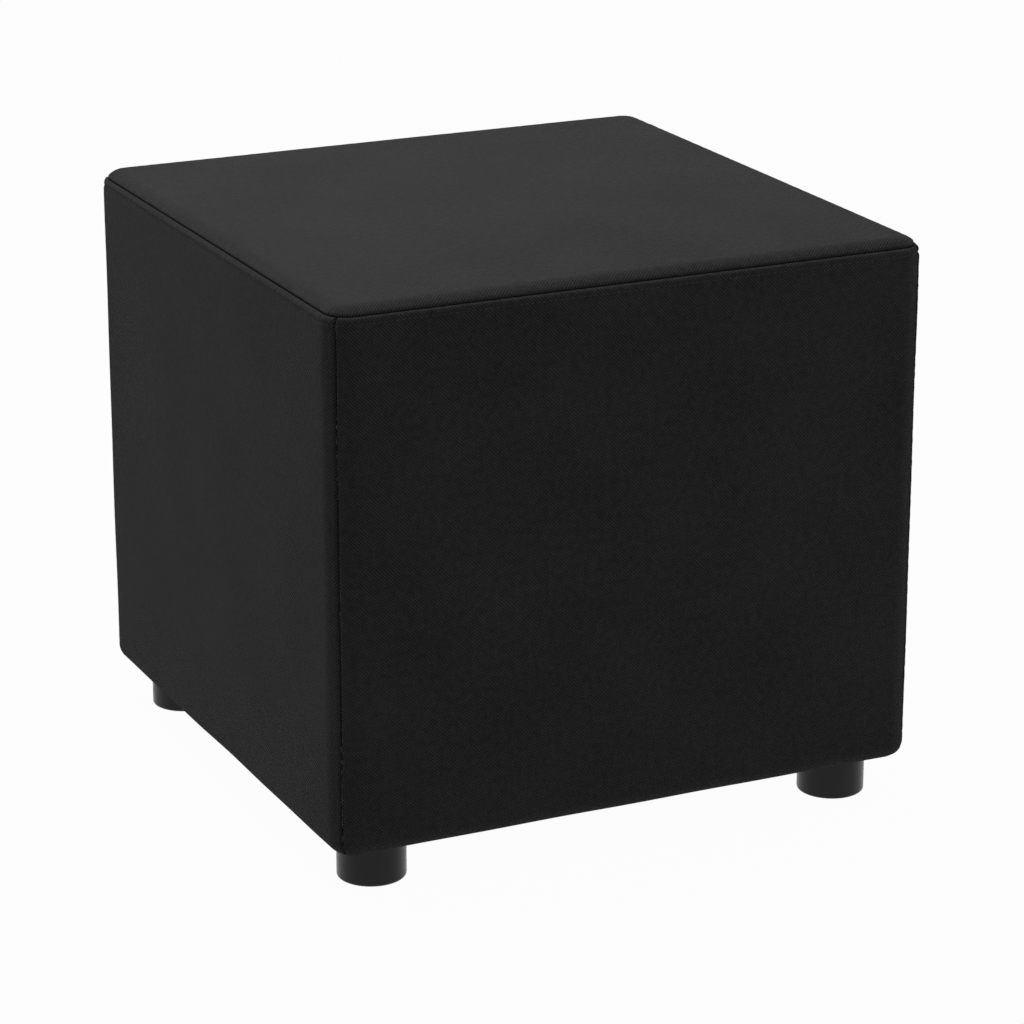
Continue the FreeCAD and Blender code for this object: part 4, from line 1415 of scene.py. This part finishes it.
    def dust_cover(self) -> bpy.types.Object:
        """The sheet under the base: rings of a square with a round bite at each foot, with slight sag.

        Returns:
            The piece.
        """
        low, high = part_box("dust_cover")
        foot_low, foot_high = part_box("foot_front_right")
        fx, fy = (foot_low.x + foot_high.x) / 2, -(foot_low.y + foot_high.y) / 2
        radius = (foot_high.x - foot_low.x) / 2 + self.foot_gap
        half = high.x - 0.05 * MM
        reach = math.sqrt(radius ** 2 - (half - fy) ** 2)
        first = math.atan2(half - fy, -reach)
        turns = np.linspace(first, 2.5 * math.pi - first, 17)
        straight = np.linspace(-(fx - reach), fx - reach, 50)[:-1]
        bite_along, bite_out = fx + radius * np.cos(turns), fy + radius * np.sin(turns)
        along, out = np.concatenate([straight, bite_along]), np.concatenate([np.full(49, half), bite_out])
        rim = np.concatenate([out[:-1, None] * OUTWARD[k] + along[:-1, None] * ALONG[k] for k in range(4)])
        scale = np.linspace(1, 0.01, 44)[:, None, None]
        plan = rim[None] * scale
        x, y = plan[..., 0], plan[..., 1]
        sag = np.abs(swell(x, y, 11.0)) * 0.9 * MM * np.clip((1 - scale[..., 0]) * 6, 0, 1)
        under = np.concatenate([plan, (low.z - sag)[..., None]], -1)
        top = np.concatenate([plan, (low.z - sag + 0.9 * (high.z - low.z))[..., None]], -1)
        piece = capped_skin("dust_cover_cloth", np.stack([top, under]))
        after = np.roll(rim, -1, axis=0)
        area = float(0.5 * abs(np.sum(rim[:, 0] * after[:, 1] - rim[:, 1] * after[:, 0])))
        flat = (2 * half, 2 * half)
        return self.sheet(piece, flat, "stretched", area, "frame", "dust_cover", ["base_board"])

    def build(self) -> list[bpy.types.Object]:
        """Make all the linings."""
        return [self.storage(), self.floor(), self.facing(), self.lid(), self.dust_cover()]


@dataclass
class Zip:
    """The zip in the seam: a coil sewn to each of its two tapes."""

    form: Form
    pitch: float = 1.25 * MM
    coil_out: float = -1.9 * MM
    coil_down: float = 1.05 * MM
    wire: float = 0.19 * MM
    loop: float = 0.34 * MM
    per_turn: int = 8

    def coil(self, name: str, down: float, body: str) -> bpy.types.Object:
        """One coil: a helix of nylon wire carried along the seam from back corner to back corner.

        The helix turns round a line beside the seam. Its wire is a four-sided tube.

        Args:
            name: The CAD node it replaces.
            down: How far below the seam it lies along the cover.
            body: The body it rides on.
        Returns:
            The piece.
        """
        f = self.form
        inset, height = f.by_seam(self.coil_out, down)
        side, u = f.zip_path(400)
        x, y = f.outline(inset, side, u)
        face = f.facing(side, u)
        length = np.concatenate([[0], np.cumsum(np.hypot(np.diff(x), np.diff(y)))])
        turns = round(length[-1] / self.pitch)
        place = np.linspace(0, length[-1], turns * self.per_turn + 1)
        x, y, fx, fy = (np.interp(place, length, v) for v in (x, y, face[:, 0], face[:, 1]))
        angle = 2 * math.pi * turns * place / length[-1]
        sine, cosine = math.sin(f.seam_angle), math.cos(f.seam_angle)
        out, low = np.cos(angle), np.sin(angle)
        flat, up = out * sine + low * cosine, out * cosine - low * sine
        radial = np.stack([fx * flat, fy * flat, up], -1)
        middle = np.stack([x, y, np.full_like(x, height)], -1) + self.loop * radial
        ahead = np.gradient(middle, axis=0)
        ahead = ahead / np.linalg.norm(ahead, axis=1, keepdims=True)
        beside = np.cross(ahead, radial)
        beside = beside / np.linalg.norm(beside, axis=1, keepdims=True)
        turn = (np.arange(4) * math.pi / 2)[None, :, None]
        tube = middle[:, None] + self.wire * (np.cos(turn) * radial[:, None] + np.sin(turn) * beside[:, None])
        count = len(tube) * 4
        ends = np.array([[3, 2, 1, 0], [count - 4, count - 3, count - 2, count - 1]])
        faces = np.concatenate([grid_faces(len(tube), 4, close_columns=True), ends])
        piece = mesh_object(name + "_helix", tube.reshape(-1, 3), faces)
        return finish_piece(piece, ZIP_NYLON, body, (name,))

    def tape(self, name: str, body: str, start: float, stop: float) -> bpy.types.Object:
        """One tape: a band just inside the cover, following the top rounding.

        Args:
            name: The CAD node it replaces.
            body: The body it rides on.
            start: Angle from level at which the band starts on the rounding. Below 0 it hangs straight.
            stop: Angle at which it ends.
        Returns:
            The new object.
        """
        f = self.form
        angle = spaced([(start, 0), (stop, 10)])
        side, u = f.zip_path(140)
        sheets = []
        for inside in (1.36 * MM, 1.8 * MM):
            radius = f.top_radius - inside
            inset = f.top_radius - radius * np.cos(np.maximum(angle, 0))
            height = f.top - f.top_radius + radius * np.where(angle > 0, np.sin(angle), angle)
            x, y = f.outline(inset[:, None], side, u)
            sheets.append(np.stack([x, y, height[:, None] + 0 * x], -1))
        piece = closed_skin(name + "_band", np.stack(sheets), False)
        return finish_piece(piece, ZIP_TAPE, body, (name,))

    def build(self) -> list[bpy.types.Object]:
        """Make both coils and both tapes."""
        f = self.form
        radius = f.top_radius - 1.5 * MM
        spring = f.top - f.top_radius
        lower_low, lower_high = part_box("lower_zip_tape")
        upper_low, upper_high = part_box("upper_zip_tape")
        return [
            self.coil("lower_zip_coil", self.coil_down, "frame"),
            self.coil("upper_zip_coil", -self.coil_down, "lid"),
            self.tape("lower_zip_tape", "frame", (lower_low.z - spring) / radius,
                      math.asin((lower_high.z - spring) / radius)),
            self.tape("upper_zip_tape", "lid", math.asin((upper_low.z - spring) / radius) + 0.02,
                      math.asin((upper_high.z - spring) / (f.top_radius - 1.36 * MM)) - 0.02),
        ]


def dress_cad() -> None:
    """Give every CAD node that still shows the procedural finish of its record's slot."""
    slots = {row["node"]: row["material_slot"] for row in frame["record"]["subparts"]}
    for name, thing in frame["nodes"].items():
        material = CAD_FINISHES[slots[name]].build()
        thing.data.materials.clear()
        thing.data.materials.append(material)


# ---------------------------------------------------------------------------------------------
# Studio
# ---------------------------------------------------------------------------------------------


@dataclass
class Studio:
    """The pale floor, the soft lights and the camera."""

    camera_place: tuple[float, float, float] = (-0.9119, -1.9450, 0.8623)
    azimuth: float = -25.343
    elevation: float = 18.432
    focal_pixels: float = 3833.2
    floor: str = "989898"
    white_share: float = 0.93
    sky: float = 0.42

    def lamp(self, name: str, place: tuple[float, float, float], size: float, power: float) -> None:
        """Add a square area lamp aimed at the middle of the ottoman.

        Args:
            name: The lamp's name.
            place: Its place.
            size: Length of its side.
            power: Its power in watts.
        """
        data = bpy.data.lights.new(name, "AREA")
        data.shape = "SQUARE"
        data.size = size
        data.energy = power
        lamp = bpy.data.objects.new(name, data)
        lamp.location = place
        lamp.visible_camera = False
        lamp.rotation_euler = (Vector((0, 0, 0.17)) - lamp.location).to_track_quat("-Z", "Y").to_euler()
        bpy.context.collection.objects.link(lamp)

    def paper(self) -> bpy.types.Material:
        """Studio paper: white where it is looked at, with the object's faint shadow kept.

        It throws back little light, so that the sides stay dark, and it is clear from below.

        Returns:
            The material.
        """
        material = bpy.data.materials.new("white_studio_paper")
        material.use_nodes = True
        tree = material.node_tree
        tree.nodes.clear()
        nodes = Nodes(tree)
        matt = nodes.add("BsdfDiffuse", Color=linear(self.floor))
        glow = nodes.add("Emission", Color=(1.0, 1.0, 1.0, 1.0), Strength=1.04)
        path = nodes.add("LightPath")
        seen = nodes.maths("ADD", path.outputs["Is Camera Ray"], path.outputs["Is Glossy Ray"])
        seen = nodes.maths("ADD", seen, path.outputs["Is Transmission Ray"])
        share = nodes.maths("MULTIPLY", seen, self.white_share)
        mix = nodes.add("MixShader", i0=share, i1=matt.outputs[0], i2=glow.outputs[0])
        below = nodes.add("NewGeometry").outputs["Backfacing"]
        clear = nodes.add("BsdfTransparent")
        sheet = nodes.add("MixShader", i0=below, i1=mix.outputs[0], i2=clear.outputs[0])
        output = nodes.add("OutputMaterial")
        tree.links.new(sheet.outputs[0], output.inputs["Surface"])
        return material

    def build(self) -> None:
        """Make the floor, the world, the lamps and the camera."""
        size = 8.0
        corners = np.array([(-size, -size, 0), (size, -size, 0), (size, size, 0), (-size, size, 0)], float)
        floor = mesh_object("studio_floor", corners - (0, 0, 0.0002), np.array([[0, 1, 2, 3]]))
        floor.data.materials.append(self.paper())
        world = bpy.data.worlds.new("studio_world")
        world.use_nodes = True
        bpy.context.scene.world = world
        nodes = Nodes(world.node_tree)
        world.node_tree.nodes.clear()
        path = nodes.add("LightPath")
        plain = nodes.add("Background", Color=(1.0, 1.0, 1.0, 1.0), Strength=self.sky)
        white = nodes.add("Background", Color=(1.0, 1.0, 1.0, 1.0), Strength=1.0)
        mix = nodes.add("MixShader", i0=path.outputs["Is Camera Ray"], i1=plain.outputs[0],
                        i2=white.outputs[0])
        output = nodes.add("OutputWorld")
        world.node_tree.links.new(mix.outputs[0], output.inputs["Surface"])
        self.lamp("key_above_left", (-0.22, 0.3, 1.15), 0.6, 5.0)
        self.lamp("fill_front", (0.6, -2.6, 1.4), 1.8, 5)
        data = bpy.data.cameras.new("camera")
        data.sensor_width = 36.0
        data.lens = self.focal_pixels * 36.0 / 1024
        data.clip_end = 50
        camera = bpy.data.objects.new("camera", data)
        camera.location = self.camera_place
        camera.rotation_euler = (math.radians(90 - self.elevation), 0.0, math.radians(self.azimuth))
        bpy.context.collection.objects.link(camera)
        bpy.context.scene.camera = camera
        bpy.context.scene.view_settings.view_transform = "Standard"


def main() -> None:
    """Dress the frame, build the soft goods, and light them."""
    logging.basicConfig(level=logging.INFO)
    front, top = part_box("cover_front"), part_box("cover_top")
    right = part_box("cover_right")
    form = Form(half_x=right[1].x, half_y=-front[0].y, bottom=front[0].z, top=top[1].z)
    dress_cad()
    seat = Seat(form)
    crown = seat.crown()
    pieces = [*SideCovers(form).build(), *seat.build(crown), *Padding(form).build(),
              *Linings(form).build(), *Zip(form).build()]
    for piece in pieces:
        LOG.info("%s: %d faces", piece.name, len(piece.data.polygons))
    Studio().build()


if __name__ == "__main__":
    main()
